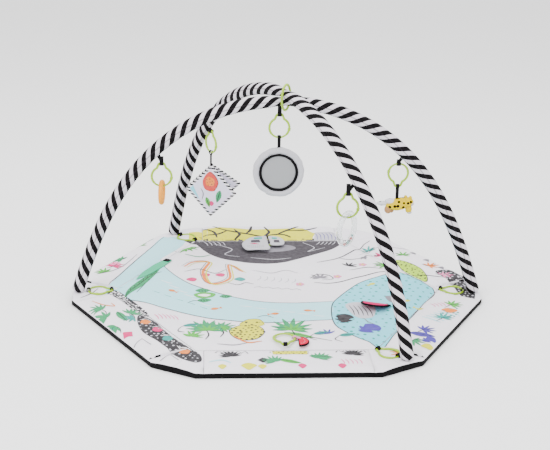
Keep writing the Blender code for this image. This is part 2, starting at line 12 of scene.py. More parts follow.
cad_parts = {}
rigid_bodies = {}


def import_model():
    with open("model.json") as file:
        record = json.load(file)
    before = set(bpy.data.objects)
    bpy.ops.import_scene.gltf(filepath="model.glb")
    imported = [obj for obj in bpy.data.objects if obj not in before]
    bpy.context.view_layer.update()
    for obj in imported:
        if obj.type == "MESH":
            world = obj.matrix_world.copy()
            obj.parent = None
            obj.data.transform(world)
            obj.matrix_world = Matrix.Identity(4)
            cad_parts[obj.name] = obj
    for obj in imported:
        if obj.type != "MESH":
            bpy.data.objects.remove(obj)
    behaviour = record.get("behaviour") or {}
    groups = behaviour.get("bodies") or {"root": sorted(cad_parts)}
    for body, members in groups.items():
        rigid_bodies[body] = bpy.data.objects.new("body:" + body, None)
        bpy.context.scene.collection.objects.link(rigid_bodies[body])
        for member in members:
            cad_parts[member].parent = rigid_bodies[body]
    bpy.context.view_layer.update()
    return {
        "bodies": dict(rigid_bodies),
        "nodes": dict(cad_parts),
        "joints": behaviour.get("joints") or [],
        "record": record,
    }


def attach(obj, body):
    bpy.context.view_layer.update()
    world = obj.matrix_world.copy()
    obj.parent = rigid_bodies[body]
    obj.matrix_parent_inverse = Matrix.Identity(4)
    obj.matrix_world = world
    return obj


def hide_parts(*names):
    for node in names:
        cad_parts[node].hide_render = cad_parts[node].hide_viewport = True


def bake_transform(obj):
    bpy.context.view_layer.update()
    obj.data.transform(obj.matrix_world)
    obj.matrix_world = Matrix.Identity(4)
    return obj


bl_info = {
    "name": "Activity Play Gym",
    "version": (1, 0, 0),
    "blender": (4, 2, 0),
    "location": "View3D > Sidebar > Play Gym",
    "description": "Makes the soft look of a play gym with a mat, two arches and hanging toys",
    "category": "Object",
}

UP = Vector((0, 0, 1))
# Mat sizes, in metres.
SIDE = 0.42
APOTHEM = 0.363731
WING = 0.116
SIDE_INSET = 0.019
SEAM_HEIGHT = 0.015
EDGE_HEIGHT = 0.012
PAD_HEIGHT = 0.0222
PRINT_LIFT = 0.0004
LAYER_STEP = 0.00016
CORNERS = {
    "right": 0,
    "back_right": 60,
    "back_left": 120,
    "left": 180,
    "front_left": 240,
    "front_right": 300,
}
SIDES = {
    "side_right_back": 30,
    "side_back": 90,
    "side_left_back": 150,
    "side_left_front": 210,
    "side_front": 270,
    "side_right_front": 330,
}
# Arch sizes, in metres and degrees.
FOOT_RADIUS = {"lower": (0.511, 0.508), "upper": (0.506, 0.506)}
FOOT_ANGLES = {"lower": (181.0, -2.5), "upper": (122.8, -57.2)}
FOOT_HEIGHT = 0.017
CROWN = {"lower": 0.519, "upper": 0.5394}
BOW = {"lower": 0.0, "upper": 0.0145}
ARCH_SLOPE = 72.9
ARCH_LENGTH = 1.58
SLEEVE_RADIUS = 0.0155
CROSSING_RADIUS = 0.0095
CROSSING_REACH = 0.035
# Link sizes, in metres.
LINK_RADIUS = 0.0245
LINK_NECK = 0.034
LINK_WIRE = 0.0025
# Toy sizes, in metres.
MIRROR_DROP = 0.0895
TEETHER_RADIUS = 0.0255
TEETHER_TUBE = 0.006
BOOK_DROP = 0.034
BOOK_SIDE = 0.105
BOOK_LEAF = 0.005
RATTLE_RADIUS = 0.037
RATTLE_TUBE = 0.0065
PLUSH_DROP = 0.0485
TOY_CLEARANCE = 0.0005
# Cloth patterns: pitches and depths in metres.
STRIPE_PITCH = 0.032
STRIPE_TURNS = -3
LIGHT_SHARE = 0.54
EDGING_PITCH = 0.0125
WEAVE_SCALE = 900.0
WEAVE_DEPTH = 0.0006
# The camera.
CAMERA_PLACE = (-0.2058, -3.1206, 1.3062)
CAMERA_FORWARD = (0.0592, 0.9403, -0.3353)
CAMERA_ROLL = 0.0208
CAMERA_LENS = 85.745

FRAME = {}


def turned(degrees):
    """Return the level unit vector at an angle from +X."""
    a = math.radians(degrees)
    return Vector((math.cos(a), math.sin(a), 0))


def joint_at(name):
    """Return a joint's place in the shared frame."""
    for joint in FRAME["joints"]:
        if joint["name"] == name:
            return Vector(joint["pos_m"])
    raise ValueError("no joint called " + name)


# ---------------------------------------------------------------- shader maths


class Sock:
    """A shader socket or number that can be used in ordinary arithmetic."""

    def __init__(self, tree, socket):
        self.tree = tree
        self.socket = socket

    def node(self, kind, settings, values):
        """Add any node: its type, its settings, then its input values or links by name."""
        made = self.tree.nodes.new(kind)
        for key, value in settings.items():
            setattr(made, key, value)
        for key, value in values.items():
            plug(self.tree, made.inputs[key], value)
        return made

    def math(self, operation, *values, clamp=False):
        """Add a Math node and return its result."""
        made = self.node("ShaderNodeMath", {"operation": operation, "use_clamp": clamp}, {})
        for slot, value in zip(made.inputs, values):
            plug(self.tree, slot, value)
        return Sock(self.tree, made.outputs[0])

    def __add__(self, other):
        return self.math("ADD", self, other)

    def __radd__(self, other):
        return self.math("ADD", other, self)

    def __sub__(self, other):
        return self.math("SUBTRACT", self, other)

    def __rsub__(self, other):
        return self.math("SUBTRACT", other, self)

    def __mul__(self, other):
        return self.math("MULTIPLY", self, other)

    def __rmul__(self, other):
        return self.math("MULTIPLY", other, self)

    def __truediv__(self, other):
        return self.math("DIVIDE", self, other)

    def __lt__(self, other):
        return self.math("LESS_THAN", self, other)

    def fract(self):
        """Return the part after the decimal point."""
        return self.math("FRACT", self)


def plug(tree, slot, value):
    """Link a socket to an input, or set the input's value."""
    if isinstance(value, Sock):
        tree.links.new(value.socket, slot)
    else:
        slot.default_value = value


def linear(text):
    """Turn a hex colour into linear RGBA."""
    parts = [int(text[i : i + 2], 16) / 255 for i in (1, 3, 5)]
    rgb = [c / 12.92 if c <= 0.04045 else ((c + 0.055) / 1.055) ** 2.4 for c in parts]
    return (*rgb, 1.0)


def material(name, colour, roughness=0.8, **constants):
    """Make a material with a plain shader; return it, its tools and its shader node."""
    m = bpy.data.materials.new(name)
    m.use_nodes = True
    tree = m.node_tree
    shader = tree.nodes["Principled BSDF"]
    shader.inputs["Base Color"].default_value = linear(colour)
    shader.inputs["Roughness"].default_value = roughness
    for key, value in constants.items():
        shader.inputs[key.replace("_", " ")].default_value = value
    m.diffuse_color = linear(colour)
    return m, Sock(tree, None), shader


def mix(t, factor, a, b):
    """Mix two colours."""
    made = t.node("ShaderNodeMix", {"data_type": "RGBA"}, {})
    plug(t.tree, made.inputs["Factor"], factor)
    plug(t.tree, made.inputs[6], a)
    plug(t.tree, made.inputs[7], b)
    return Sock(t.tree, made.outputs[2])


def uv_parts(t):
    """Return the U and V of the piece's own UV map."""
    uv = t.node("ShaderNodeUVMap", {"uv_map": "UVMap"}, {})
    split = t.node("ShaderNodeSeparateXYZ", {}, {"Vector": Sock(t.tree, uv.outputs[0])})
    return Sock(t.tree, split.outputs[0]), Sock(t.tree, split.outputs[1])


def rough_bump(t, shader, height, distance, strength=0.5):
    """Bump a shader's normal with a height."""
    bump = t.node("ShaderNodeBump", {}, {"Strength": strength, "Distance": distance, "Height": height})
    plug(t.tree, shader.inputs["Normal"], Sock(t.tree, bump.outputs["Normal"]))


def noise_of(t, scale, detail=2.0):
    """Return a noise value over object coordinates."""
    place = t.node("ShaderNodeTexCoord", {}, {})
    where = Sock(t.tree, place.outputs["Object"])
    made = t.node("ShaderNodeTexNoise", {}, {"Vector": where, "Scale": scale, "Detail": detail})
    return Sock(t.tree, made.outputs[0])


def cloth_grain(t, shader):
    """Give a material the fine grain and soft creases of woven cloth."""
    soft = noise_of(t, 60.0, 3.0) * 0.8
    rough_bump(t, shader, noise_of(t, WEAVE_SCALE, 1.0) + soft, WEAVE_DEPTH, 0.45)


INKS = {
    "ground": "#ECE8EF",
    "black": "#0E0C0F",
    "charcoal": "#2C272D",
    "grey": "#77737C",
    "pale": "#B9B7C0",
    "aqua": "#A6E0EA",
    "pond": "#6FCBDC",
    "teal": "#0B8F86",
    "green": "#078A50",
    "lime": "#A6CC1C",
    "leaf": "#3FA32A",
    "yellow": "#D2CE00",
    "orange": "#DF7716",
    "red": "#C92E20",
    "magenta": "#CC0F66",
    "pink": "#E57DAA",
    "purple": "#3C2D96",
    "white": "#F1EFF3",
}


def cloth(name, colour, roughness=0.85):
    """Make a plain cloth material."""
    m, t, shader = material(name, colour, roughness, Specular_IOR_Level=0.08)
    cloth_grain(t, shader)
    return m


def make_materials():
    """Make every material by name."""
    made = {}
    made["ground"] = cloth("mat_cotton", INKS["ground"])
    made["black"] = cloth("black_cotton", "#0B0A0C", 0.8)
    made["white"] = cloth("white_cloth", "#B7B6BC")
    m, t, shader = material("printed_ink", "#FFFFFF", 0.82, Specular_IOR_Level=0.08)
    ink = t.node("ShaderNodeAttribute", {"attribute_name": "ink"}, {})
    tone = noise_of(t, 90.0, 4.0)
    faded = mix(t, tone * 0.1, Sock(t.tree, ink.outputs["Color"]), linear(INKS["ground"]))
    plug(t.tree, shader.inputs["Base Color"], faded)
    cloth_grain(t, shader)
    made["ink"] = m
    for name in ("sleeve_lower", "sleeve_upper"):
        m, t, shader = material(name + "_stripes", "#DDD8DE", 0.8, Specular_IOR_Level=0.08)
        u, v = uv_parts(t)
        phase = (u / STRIPE_PITCH + v * STRIPE_TURNS + 100.0).fract()
        stripe = mix(t, phase < LIGHT_SHARE, linear("#CFC9D1"), linear("#0B090B"))
        seam = v < 0.03
        plug(t.tree, shader.inputs["Base Color"], mix(t, seam * 0.55, stripe, linear("#242024")))
        cloth_grain(t, shader)
        made[name] = m
    m, t, shader = material("webbing", "#0C0B0D", 0.75, Specular_IOR_Level=0.12)
    rough_bump(t, shader, noise_of(t, 1600.0, 0.0), 0.0004, 0.6)
    made["webbing"] = m
    m, t, shader = material("lime_plastic", "#90B400", 0.4)
    rough_bump(t, shader, noise_of(t, 300.0, 1.0), 0.0001, 0.3)
    made["lime"] = m
    m, t, shader = material("orange_rubber", "#E08E00", 0.5)
    rough_bump(t, shader, noise_of(t, 500.0, 1.0), 0.0001, 0.4)
    made["orange"] = m
    # Partly painted reflection: the pane's flat grey base colour stands in for what the mirror reflects, and
    # the low metallic adds only a little real reflection.
    m, t, shader = material("mirror_foil", "#8E8F92", 0.4, Metallic=0.25)
    rough_bump(t, shader, noise_of(t, 38.0, 1.0), 0.0006, 0.25)
    made["mirror"] = m
    m, t, shader = material("clear_plastic", "#FBFDFD", 0.08, Transmission_Weight=0.9, IOR=1.25)
    made["clear"] = m
    for name, colour in (("red_bead", "#D03A33"), ("teal_bead", "#1F9C93"), ("black_bead", "#232024")):
        m, t, shader = material(name, colour, 0.3, Coat_Weight=0.4)
        plug(t.tree, shader.inputs["Roughness"], 0.28 + noise_of(t, 400.0, 1.0) * 0.1)
        made[name] = m
    for name, base, dot in (
        ("spotted_yellow", "#D6B800", "#0B090B"),
        ("spotted_grey", "#CFCDD2", "#2A272B"),
    ):
        m, t, shader = material(name, base, 0.9, Specular_IOR_Level=0.08)
        place = t.node("ShaderNodeTexCoord", {}, {})
        spot = t.node(
            "ShaderNodeTexVoronoi",
            {},
            {"Vector": Sock(t.tree, place.outputs["Object"]), "Scale": 88.0, "Randomness": 0.5},
        )
        inside = Sock(t.tree, spot.outputs["Distance"]) < 0.34
        plug(t.tree, shader.inputs["Base Color"], mix(t, inside, linear(base), linear(dot)))
        rough_bump(t, shader, noise_of(t, 1200.0, 2.0), 0.0006, 0.5)
        made[name] = m
    for name, colour in (
        ("tan", "#A97F55"),
        ("magenta", "#C40E5C"),
        ("red", "#C8143C"),
        ("green", "#3FAE84"),
        ("teal", "#2A9A93"),
        ("lavender", "#DCD6EA"),
        ("pink", "#D98BB0"),
        ("charcoal", "#4C474E"),
    ):
        made[name] = cloth(name + "_cloth", colour)
    m, t, shader = material("edge_stripes", "#F1EFF3", 0.8, Specular_IOR_Level=0.08)
    u, v = uv_parts(t)
    plug(
        t.tree,
        shader.inputs["Base Color"],
        mix(t, ((u + v) / EDGING_PITCH + 50.0).fract() < 0.5, linear("#EEEBF0"), linear("#0B090B")),
    )
    cloth_grain(t, shader)
    made["edge"] = m
    m, t, shader = material("pale_floor", "#F2F1F2", 0.7)
    plug(t.tree, shader.inputs["Roughness"], 0.65 + noise_of(t, 3.0, 2.0) * 0.1)
    made["floor"] = m
    return made


LOOKS = {}

# ---------------------------------------------------------------- mesh helpers


def mesh_object(name, points, faces, look, uvs=None, smooth=True):
    """Make an object from points and faces, with an optional UV for each point."""
    mesh = bpy.data.meshes.new(name)
    mesh.from_pydata([tuple(p) for p in points], [], faces)
    mesh.update()
    if uvs is not None:
        layer = mesh.uv_layers.new(name="UVMap")
        for loop in mesh.loops:
            layer.data[loop.index].uv = uvs[loop.vertex_index]
    looks = look if isinstance(look, (list, tuple)) else [look]
    for one in looks:
        mesh.materials.append(LOOKS[one])
    mesh.polygons.foreach_set("use_smooth", [smooth] * len(mesh.polygons))
    o = bpy.data.objects.new(name, mesh)
    bpy.context.scene.collection.objects.link(o)
    return o


def outward(o):
    """Turn a closed piece's faces outward."""
    work = bmesh.new()
    work.from_mesh(o.data)
    bmesh.ops.recalc_face_normals(work, faces=work.faces)
    work.to_mesh(o.data)
    work.free()
    return o


def join(name, pieces):
    """Join several meshes into one object."""
    work = bmesh.new()
    looks = []
    for piece in pieces:
        offset = {}
        for i, slot in enumerate(piece.data.materials):
            if slot not in looks:
                looks.append(slot)
            offset[i] = looks.index(slot)
        for face in piece.data.polygons:
            face.material_index = offset.get(face.material_index, 0)
        work.from_mesh(piece.data)
    mesh = bpy.data.meshes.new(name)
    work.to_mesh(mesh)
    work.free()
    for slot in looks:
        mesh.materials.append(slot)
    for piece in pieces:
        old = piece.data
        bpy.data.objects.remove(piece)
        bpy.data.meshes.remove(old)
    o = bpy.data.objects.new(name, mesh)
    bpy.context.scene.collection.objects.link(o)
    return o


def sweep(name, path, radius, look, around=16, closed=False, up=UP):
    """Sweep a round section along a path. U is the length in metres and V goes round."""
    path = [Vector(p) for p in path]
    count = len(path)
    points, faces, uvs = [], [], []
    length = 0.0
    for i, p in enumerate(path):
        before = path[i - 1] if closed or i else path[0]
        after = path[(i + 1) % count] if closed or i + 1 < count else path[-1]
        along = (after - before).normalized()
        side = along.cross(up)
        side = side.normalized() if side.length > 1e-5 else along.orthogonal().normalized()
        over = side.cross(along)
        if i:
            length += (p - path[i - 1]).length
        r = radius(i / (count - 1 if not closed else count), p) if callable(radius) else radius
        for k in range(around + (0 if closed else 1)):
            a = 2 * math.pi * k / around
            points.append(p + side * (math.cos(a) * r) + over * (math.sin(a) * r))
            uvs.append((length, k / around))
    wide = around if closed else around + 1
    for i in range(count if closed else count - 1):
        j = (i + 1) % count
        for k in range(around):
            m = (k + 1) % around if closed else k + 1
            faces.append((i * wide + k, i * wide + m, j * wide + m, j * wide + k))
    if not closed:
        faces.append(tuple(range(around)))
        faces.append(tuple((count - 1) * wide + k for k in reversed(range(around))))
    o = mesh_object(name, points, faces, look, uvs)
    work = bmesh.new()
    work.from_mesh(o.data)
    bmesh.ops.remove_doubles(work, verts=work.verts, dist=1e-7)
    bmesh.ops.recalc_face_normals(work, faces=work.faces)
    work.to_mesh(o.data)
    work.free()
    return o


def band(name, path, across, width, thickness, look="webbing"):
    """Make a flat strap along a path. across is the direction of its width."""
    path = [Vector(p) for p in path]
    points, faces, uvs = [], [], []
    length = 0.0
    half = across.normalized() * (width / 2)
    for i, p in enumerate(path):
        along = (path[min(i + 1, len(path) - 1)] - path[max(i - 1, 0)]).normalized()
        over = along.cross(across).normalized() * (thickness / 2)
        if i:
            length += (p - path[i - 1]).length
        points += [p - half - over, p + half - over, p + half + over, p - half + over]
        uvs += [(length, 0), (length, width), (length, width), (length, 0)]
    for i in range(len(path) - 1):
        for k in range(4):
            m = (k + 1) % 4
            faces.append((4 * i + k, 4 * i + m, 4 * i + 4 + m, 4 * i + 4 + k))
    last = 4 * (len(path) - 1)
    faces.append((3, 2, 1, 0))
    faces.append((last, last + 1, last + 2, last + 3))
    return outward(mesh_object(name, points, faces, look, uvs, False))


def pad(name, outline, thickness, place, look, edge=None, rings=7, crown=0.45, noisy=0.0004):
    """Make a stuffed flat shape from a closed outline, domed on both faces, with an edge strip."""
    count = len(outline)
    middle = sum((Vector((*p, 0)) for p in outline), Vector()) / count
    points, faces, uvs, marks = [], [], [], []
    for side in (1, -1):
        first = len(points)
        for ring in range(rings + 1):
            s = 1 - ring / (rings + 0.35)
            lift = thickness * (crown + (1 - crown) * math.sqrt(max(0.0, 1 - s**3))) / 2
            for p in outline:
                q = middle + (Vector((*p, 0)) - middle) * s
                wobble = noise.noise(Vector((q.x * 90, q.y * 90, side * 3.0))) * noisy
                points.append(Vector((q.x, q.y, side * (lift + (wobble if ring else 0)))))
                uvs.append((q.x, q.y))
        points.append(middle + UP * (side * (thickness / 2)))
        uvs.append((middle.x, middle.y))
        for ring in range(rings):
            for k in range(count):
                m = (k + 1) % count
                a, b = first + ring * count, first + (ring + 1) * count
                faces.append((a + k, a + m, b + m, b + k))
                marks.append(1 if edge and ring == 0 else 0)
        a = first + rings * count
        for k in range(count):
            faces.append((a + k, a + (k + 1) % count, first + (rings + 1) * count))
            marks.append(0)
    other = (rings + 1) * count + 1
    for k in range(count):
        m = (k + 1) % count
        faces.append((k, m, other + m, other + k))
        marks.append(1 if edge else 0)
    o = mesh_object(name, [place @ p for p in points], faces, [look, edge] if edge else look, uvs)
    for face, mark in zip(o.data.polygons, marks):
        face.material_index = mark
    return outward(o)


def ball(name, centre, radii, look, turn=None, parts=(20, 12), noisy=0.0):
    """Make an ellipsoid."""
    work = bmesh.new()
    bmesh.ops.create_uvsphere(work, u_segments=parts[0], v_segments=parts[1], radius=1.0)
    for v in work.verts:
        swell = 1 + noisy * noise.noise(v.co * 2.1 + centre * 30)
        v.co = Vector((v.co.x * radii[0], v.co.y * radii[1], v.co.z * radii[2])) * swell
        if turn is not None:
            v.co = turn @ v.co
        v.co += centre
    mesh = bpy.data.meshes.new(name)
    work.to_mesh(mesh)
    work.free()
    mesh.materials.append(LOOKS[look])
    mesh.polygons.foreach_set("use_smooth", [True] * len(mesh.polygons))
    o = bpy.data.objects.new(name, mesh)
    bpy.context.scene.collection.objects.link(o)
    return o


def curve_at(a, b, c, d, t):
    """Return a point of the smooth curve from b to c, whose neighbours are a and d."""
    bend = 2 * a - 5 * b + 4 * c - d
    return 0.5 * (2 * b + (c - a) * t + bend * t * t + (3 * b - a - 3 * c + d) * t**3)


def rounded(points, steps=6):
    """Return a smooth closed outline through a few points."""
    out = []
    count = len(points)
    for i in range(count):
        a, b, c, d = (Vector(points[(i + k) % count]) for k in (-1, 0, 1, 2))
        for k in range(steps):
            out.append(curve_at(a, b, c, d, k / steps))
    return out


def line_through(points, steps=6):
    """Return a smooth open line through a few points."""
    pts = [Vector(p) for p in points]
    pts = [2 * pts[0] - pts[1]] + pts + [2 * pts[-1] - pts[-2]]
    out = []
    for i in range(1, len(pts) - 2):
        a, b, c, d = pts[i - 1 : i + 3]
        for k in range(steps):
            out.append(curve_at(a, b, c, d, k / steps))
    out.append(pts[-2])
    return out


# ------------------------------------------------------------------ mat shape


def smooth(t):
    """Ease from 0 to 1."""
    t = min(1.0, max(0.0, t))
    return t * t * (3 - 2 * t)


SIDE_NORMALS = [(name, turned(a), UP.cross(turned(a))) for name, a in SIDES.items()]


def where_on_mat(x, y):
    """Return the nearest side, the distance beyond its fold and the distance along it."""
    best = max(SIDE_NORMALS, key=lambda side: x * side[1].x + y * side[1].y)
    return best[0], x * best[1].x + y * best[1].y - APOTHEM, x * best[2].x + y * best[2].y


def mat_height(x, y):
    """Return the height of the mat's printed face."""
    _, s, t = where_on_mat(x, y)
    ripple = noise.noise(Vector((x * 14, y * 14, 1.7))) * 0.0011
    ripple += noise.noise(Vector((x * 42, y * 42, 4.1))) * 0.0005
    if s <= 0:
        rise = smooth(-s / 0.03)
        return SEAM_HEIGHT + (PAD_HEIGHT - SEAM_HEIGHT + ripple) * rise
    end = SIDE / 2 - SIDE_INSET - abs(t)
    if end >= 0:
        rise = smooth(s / 0.026) * (0.35 + 0.65 * smooth(end / 0.014))
        top = SEAM_HEIGHT + (PAD_HEIGHT + 0.0002 - SEAM_HEIGHT + ripple) * rise
        edge = math.sqrt(smooth((WING - s) / 0.016))
        return EDGE_HEIGHT + (top - EDGE_HEIGHT) * (0.12 + 0.88 * edge)
    rise = smooth(-end / 0.016) * smooth(s / 0.04)
    fade = 0.3 + 0.7 * math.sqrt(smooth((WING - s - 0.002) / 0.02))
    low = EDGE_HEIGHT + 0.0006
    return low + (0.0036 + ripple) * rise * fade + (SEAM_HEIGHT - low) * smooth(1 - s / 0.05)


def panel(name, place, nu, nv, floor=0.0008, bulge=0.0012):
    """Make a closed padded panel over a grid whose corners place(u, v) gives, with a black lower edge."""
    points, faces, uvs, marks = [], [], [], []
    for j in range(nv + 1):
        for i in range(nu + 1):
            x, y = place(i / nu, j / nv)
            points.append((x, y, mat_height(x, y)))
            uvs.append((x, y))
    wide = nu + 1
    for j in range(nv):
        for i in range(nu):
            a = j * wide + i
            faces.append((a, a + 1, a + wide + 1, a + wide))
            marks.append(0)
    rim = [i for i in range(nu)] + [j * wide + nu for j in range(nv)]
    rim += [nv * wide + i for i in range(nu, 0, -1)] + [j * wide for j in range(nv, 0, -1)]
    middle = Vector((*place(0.5, 0.5), 0))
    last = rim
    for level, out in ((0.0105, bulge), (0.0022, bulge), (floor, 0.0)):
        new = []
        for k in rim:
            x, y, z = points[k]
            away = (Vector((x, y, 0)) - middle).normalized()
            wave = 0.0005 * noise.noise(Vector((x * 60, y * 60, 9)))
            _, s, _ = where_on_mat(x, y)
            reach = (out + wave) if s > 0.09 else 0.0
            new.append(len(points))
            points.append((x + away.x * reach, y + away.y * reach, min(level, z - 0.0006)))
            uvs.append((x, y))
        for k in range(len(rim)):
            m = (k + 1) % len(rim)
            faces.append((last[k], new[k], new[m], last[m]))
            marks.append(1 if where_on_mat(points[new[k]][0], points[new[k]][1])[1] > 0.084 else 0)
        last = new
    faces.append(tuple(last))
    marks.append(1)
    o = mesh_object(name, points, faces, ["ground", "black"], uvs)
    for face, mark in zip(o.data.polygons, marks):
        face.material_index = mark
    return outward(o)


def centre_panel(name, rings=64):
    """Make the padded middle of the mat as a closed hexagon."""
    points, faces = [Vector((0, 0, mat_height(0, 0)))], []
    index = {(0, 0): 0}

    def ring_point(ring, k):
        if ring == 0:
            return 0
        k %= 6 * ring
        if (ring, k) not in index:
            side, step = divmod(k, ring)
            a = turned(60 * side) * (SIDE * ring / rings)
            b = turned(60 * side + 60) * (SIDE * ring / rings)
            p = a.lerp(b, step / ring) * (1 - 0.0004 / SIDE)
            index[(ring, k)] = len(points)
            points.append(Vector((p.x, p.y, mat_height(p.x, p.y))))
        return index[(ring, k)]

    for ring in range(1, rings + 1):
        for side in range(6):
            for step in range(ring):
                inner = side * (ring - 1) + step
                outer = side * ring + step
                a, b, c = ring_point(ring, outer), ring_point(ring, outer + 1), ring_point(ring - 1, inner)
                faces.append((a, b, c))
                if step < ring - 1:
                    faces.append((c, b, ring_point(ring - 1, inner + 1)))
    rim = [ring_point(rings, k) for k in range(6 * rings)]
    low = []
    for k in rim:
        low.append(len(points))
        points.append(Vector((points[k].x, points[k].y, 0.0026)))
    marks = [0] * len(faces)
    for k in range(len(rim)):
        m = (k + 1) % len(rim)
        faces.append((rim[k], low[k], low[m], rim[m]))
        marks.append(1)
    faces.append(tuple(low))
    marks.append(1)
    uvs = [(p.x, p.y) for p in points]
    o = mesh_object(name, points, faces, ["ground", "black"], uvs)
    for face, mark in zip(o.data.polygons, marks):
        face.material_index = mark
    return outward(o)


# --------------------------------------------------------------------- prints


class Prints:
    """Flat printed shapes, each with an ink, a layer and a closed outline in metres on the mat."""

    def __init__(self):
        self.shapes = []

    def poly(self, ink, points, layer=0):
        """Add a straight-sided shape."""
        self.shapes.append((ink, layer, [Vector((p[0], p[1])) for p in points]))

    def blob(self, ink, points, layer=0):
        """Add a smooth closed shape through a few points."""
        self.poly(ink, rounded([Vector(p) for p in points]), layer)

    def stroke(self, ink, points, width=0.004, layer=2, closed=False, straight=False):
        """Add a brush stroke along a line, thin at its ends unless it is closed."""
        if closed:
            line = rounded([Vector(p) for p in points])
            line.append(line[0])
        elif straight:
            line = [Vector(p) for p in points]
        else:
            line = line_through([Vector(p) for p in points])
        count = len(line)
        left, right = [], []
        for i, p in enumerate(line):
            along = line[min(i + 1, count - 1)] - line[max(i - 1, 0)]
            if along.length < 1e-7:
                along = Vector((1, 0))
            side = Vector((-along.y, along.x)).normalized() * (width / 2)
            if not closed and not straight:
                side *= 0.45 + 0.55 * math.sin(math.pi * min(1.0, max(0.0, i / (count - 1))))
            left.append(p + side)
            right.append(p - side)
        for i in range(count - 1):
            self.poly(ink, (right[i], right[i + 1], left[i + 1], left[i]), layer)

    def dot(self, ink, x, y, radius, layer=3, sides=10):
        """Add a round spot."""
        turns = [2 * math.pi * k / sides for k in range(sides)]
        ring = [(x + radius * math.cos(a), y + radius * math.sin(a)) for a in turns]
        self.poly(ink, ring, layer)

    def dots(self, ink, outline, gap, radius, layer=3, seed=1):
        """Fill an outline with scattered spots."""
        pick = random.Random(seed)
        shape = rounded([Vector(p) for p in outline])
        xs = [p.x for p in shape]
        ys = [p.y for p in shape]
        y = min(ys) + gap / 2
        row = 0
        while y < max(ys):
            x = min(xs) + gap * (0.5 if row % 2 else 1.0)
            while x < max(xs):
                px = x + pick.uniform(-0.22, 0.22) * gap
                py = y + pick.uniform(-0.22, 0.22) * gap
                if inside(shape, px, py):
                    self.dot(ink, px, py, radius * pick.uniform(0.75, 1.2), layer)
                x += gap
            y += gap
            row += 1

    def leaf(self, ink, base, tip, width, layer=2, rib="black"):
        """Add a pointed leaf with a rib."""
        base, tip = Vector(base), Vector(tip)
        along = tip - base
        side = Vector((-along.y, along.x)).normalized() * (width / 2)
        steps = [0.0, 0.12, 0.3, 0.5, 0.7, 0.88]
        wide = [0.1, 0.62, 0.95, 1.0, 0.75, 0.38]
        left = [base + along * s + side * w for s, w in zip(steps, wide)]
        right = [base + along * s - side * w for s, w in zip(steps, wide)]
        self.poly(ink, right + [tip] + left[::-1], layer)
        if rib:
            self.stroke(rib, (base, base.lerp(tip, 0.5), base.lerp(tip, 0.92)), 0.0022, layer + 1)

    def fan(self, ink, x, y, size, angle, fingers=7, spread=150, layer=2):
        """Add a palm of pointed fingers."""
        for k in range(fingers):
            a = math.radians(angle - spread / 2 + spread * k / (fingers - 1))
            reach = size * (0.75 + 0.25 * math.cos(a - math.radians(angle)))
            tip = (x + reach * math.cos(a), y + reach * math.sin(a))
            self.leaf(ink, (x, y), tip, size * 0.2, layer, None)

    def cut_leaf(self, ink, x, y, size, angle, layer=2):
        """Add a broad leaf with deep notches."""
        turn = math.radians(angle)
        points = []
        count = 44
        for k in range(count):
            a = 2 * math.pi * k / count
            reach = 0.5 + 0.32 * math.cos(a) + 0.1 * math.cos(2 * a)
            reach *= 0.55 if k % 5 in (2, 3) and 4 < k < count - 4 else 1.0
            points.append((x + size * reach * math.cos(a + turn), y + size * reach * math.sin(a + turn)))
        self.poly(ink, points, layer)

    def hatch(self, ink, corner, step, reach, count, width=0.0035, layer=1):
        """Add parallel strokes, each offset by step and reaching by reach."""
        for k in range(count):
            a = Vector(corner) + Vector(step) * k
            bend = Vector(step) * 0.25
            self.stroke(ink, (a, a + Vector(reach) * 0.5 + bend, a + Vector(reach)), width, layer)

    def zigzag(self, ink, a, b, height, count, width=0.003, layer=2):
        """Add a zigzag line."""
        a, b = Vector(a), Vector(b)
        side = Vector((-(b - a).y, (b - a).x)).normalized() * height
        line = [a.lerp(b, k / count) + (side if k % 2 else Vector((0, 0))) for k in range(count + 1)]
        self.stroke(ink, line, width, layer, straight=True)


def inside(shape, x, y):
    """Tell whether a point lies in a closed outline."""
    found = False
    j = len(shape) - 1
    for i in range(len(shape)):
        a, b = shape[i], shape[j]
        if (a.y > y) != (b.y > y) and x < (b.x - a.x) * (y - a.y) / (b.y - a.y) + a.x:
            found = not found
        j = i
    return found


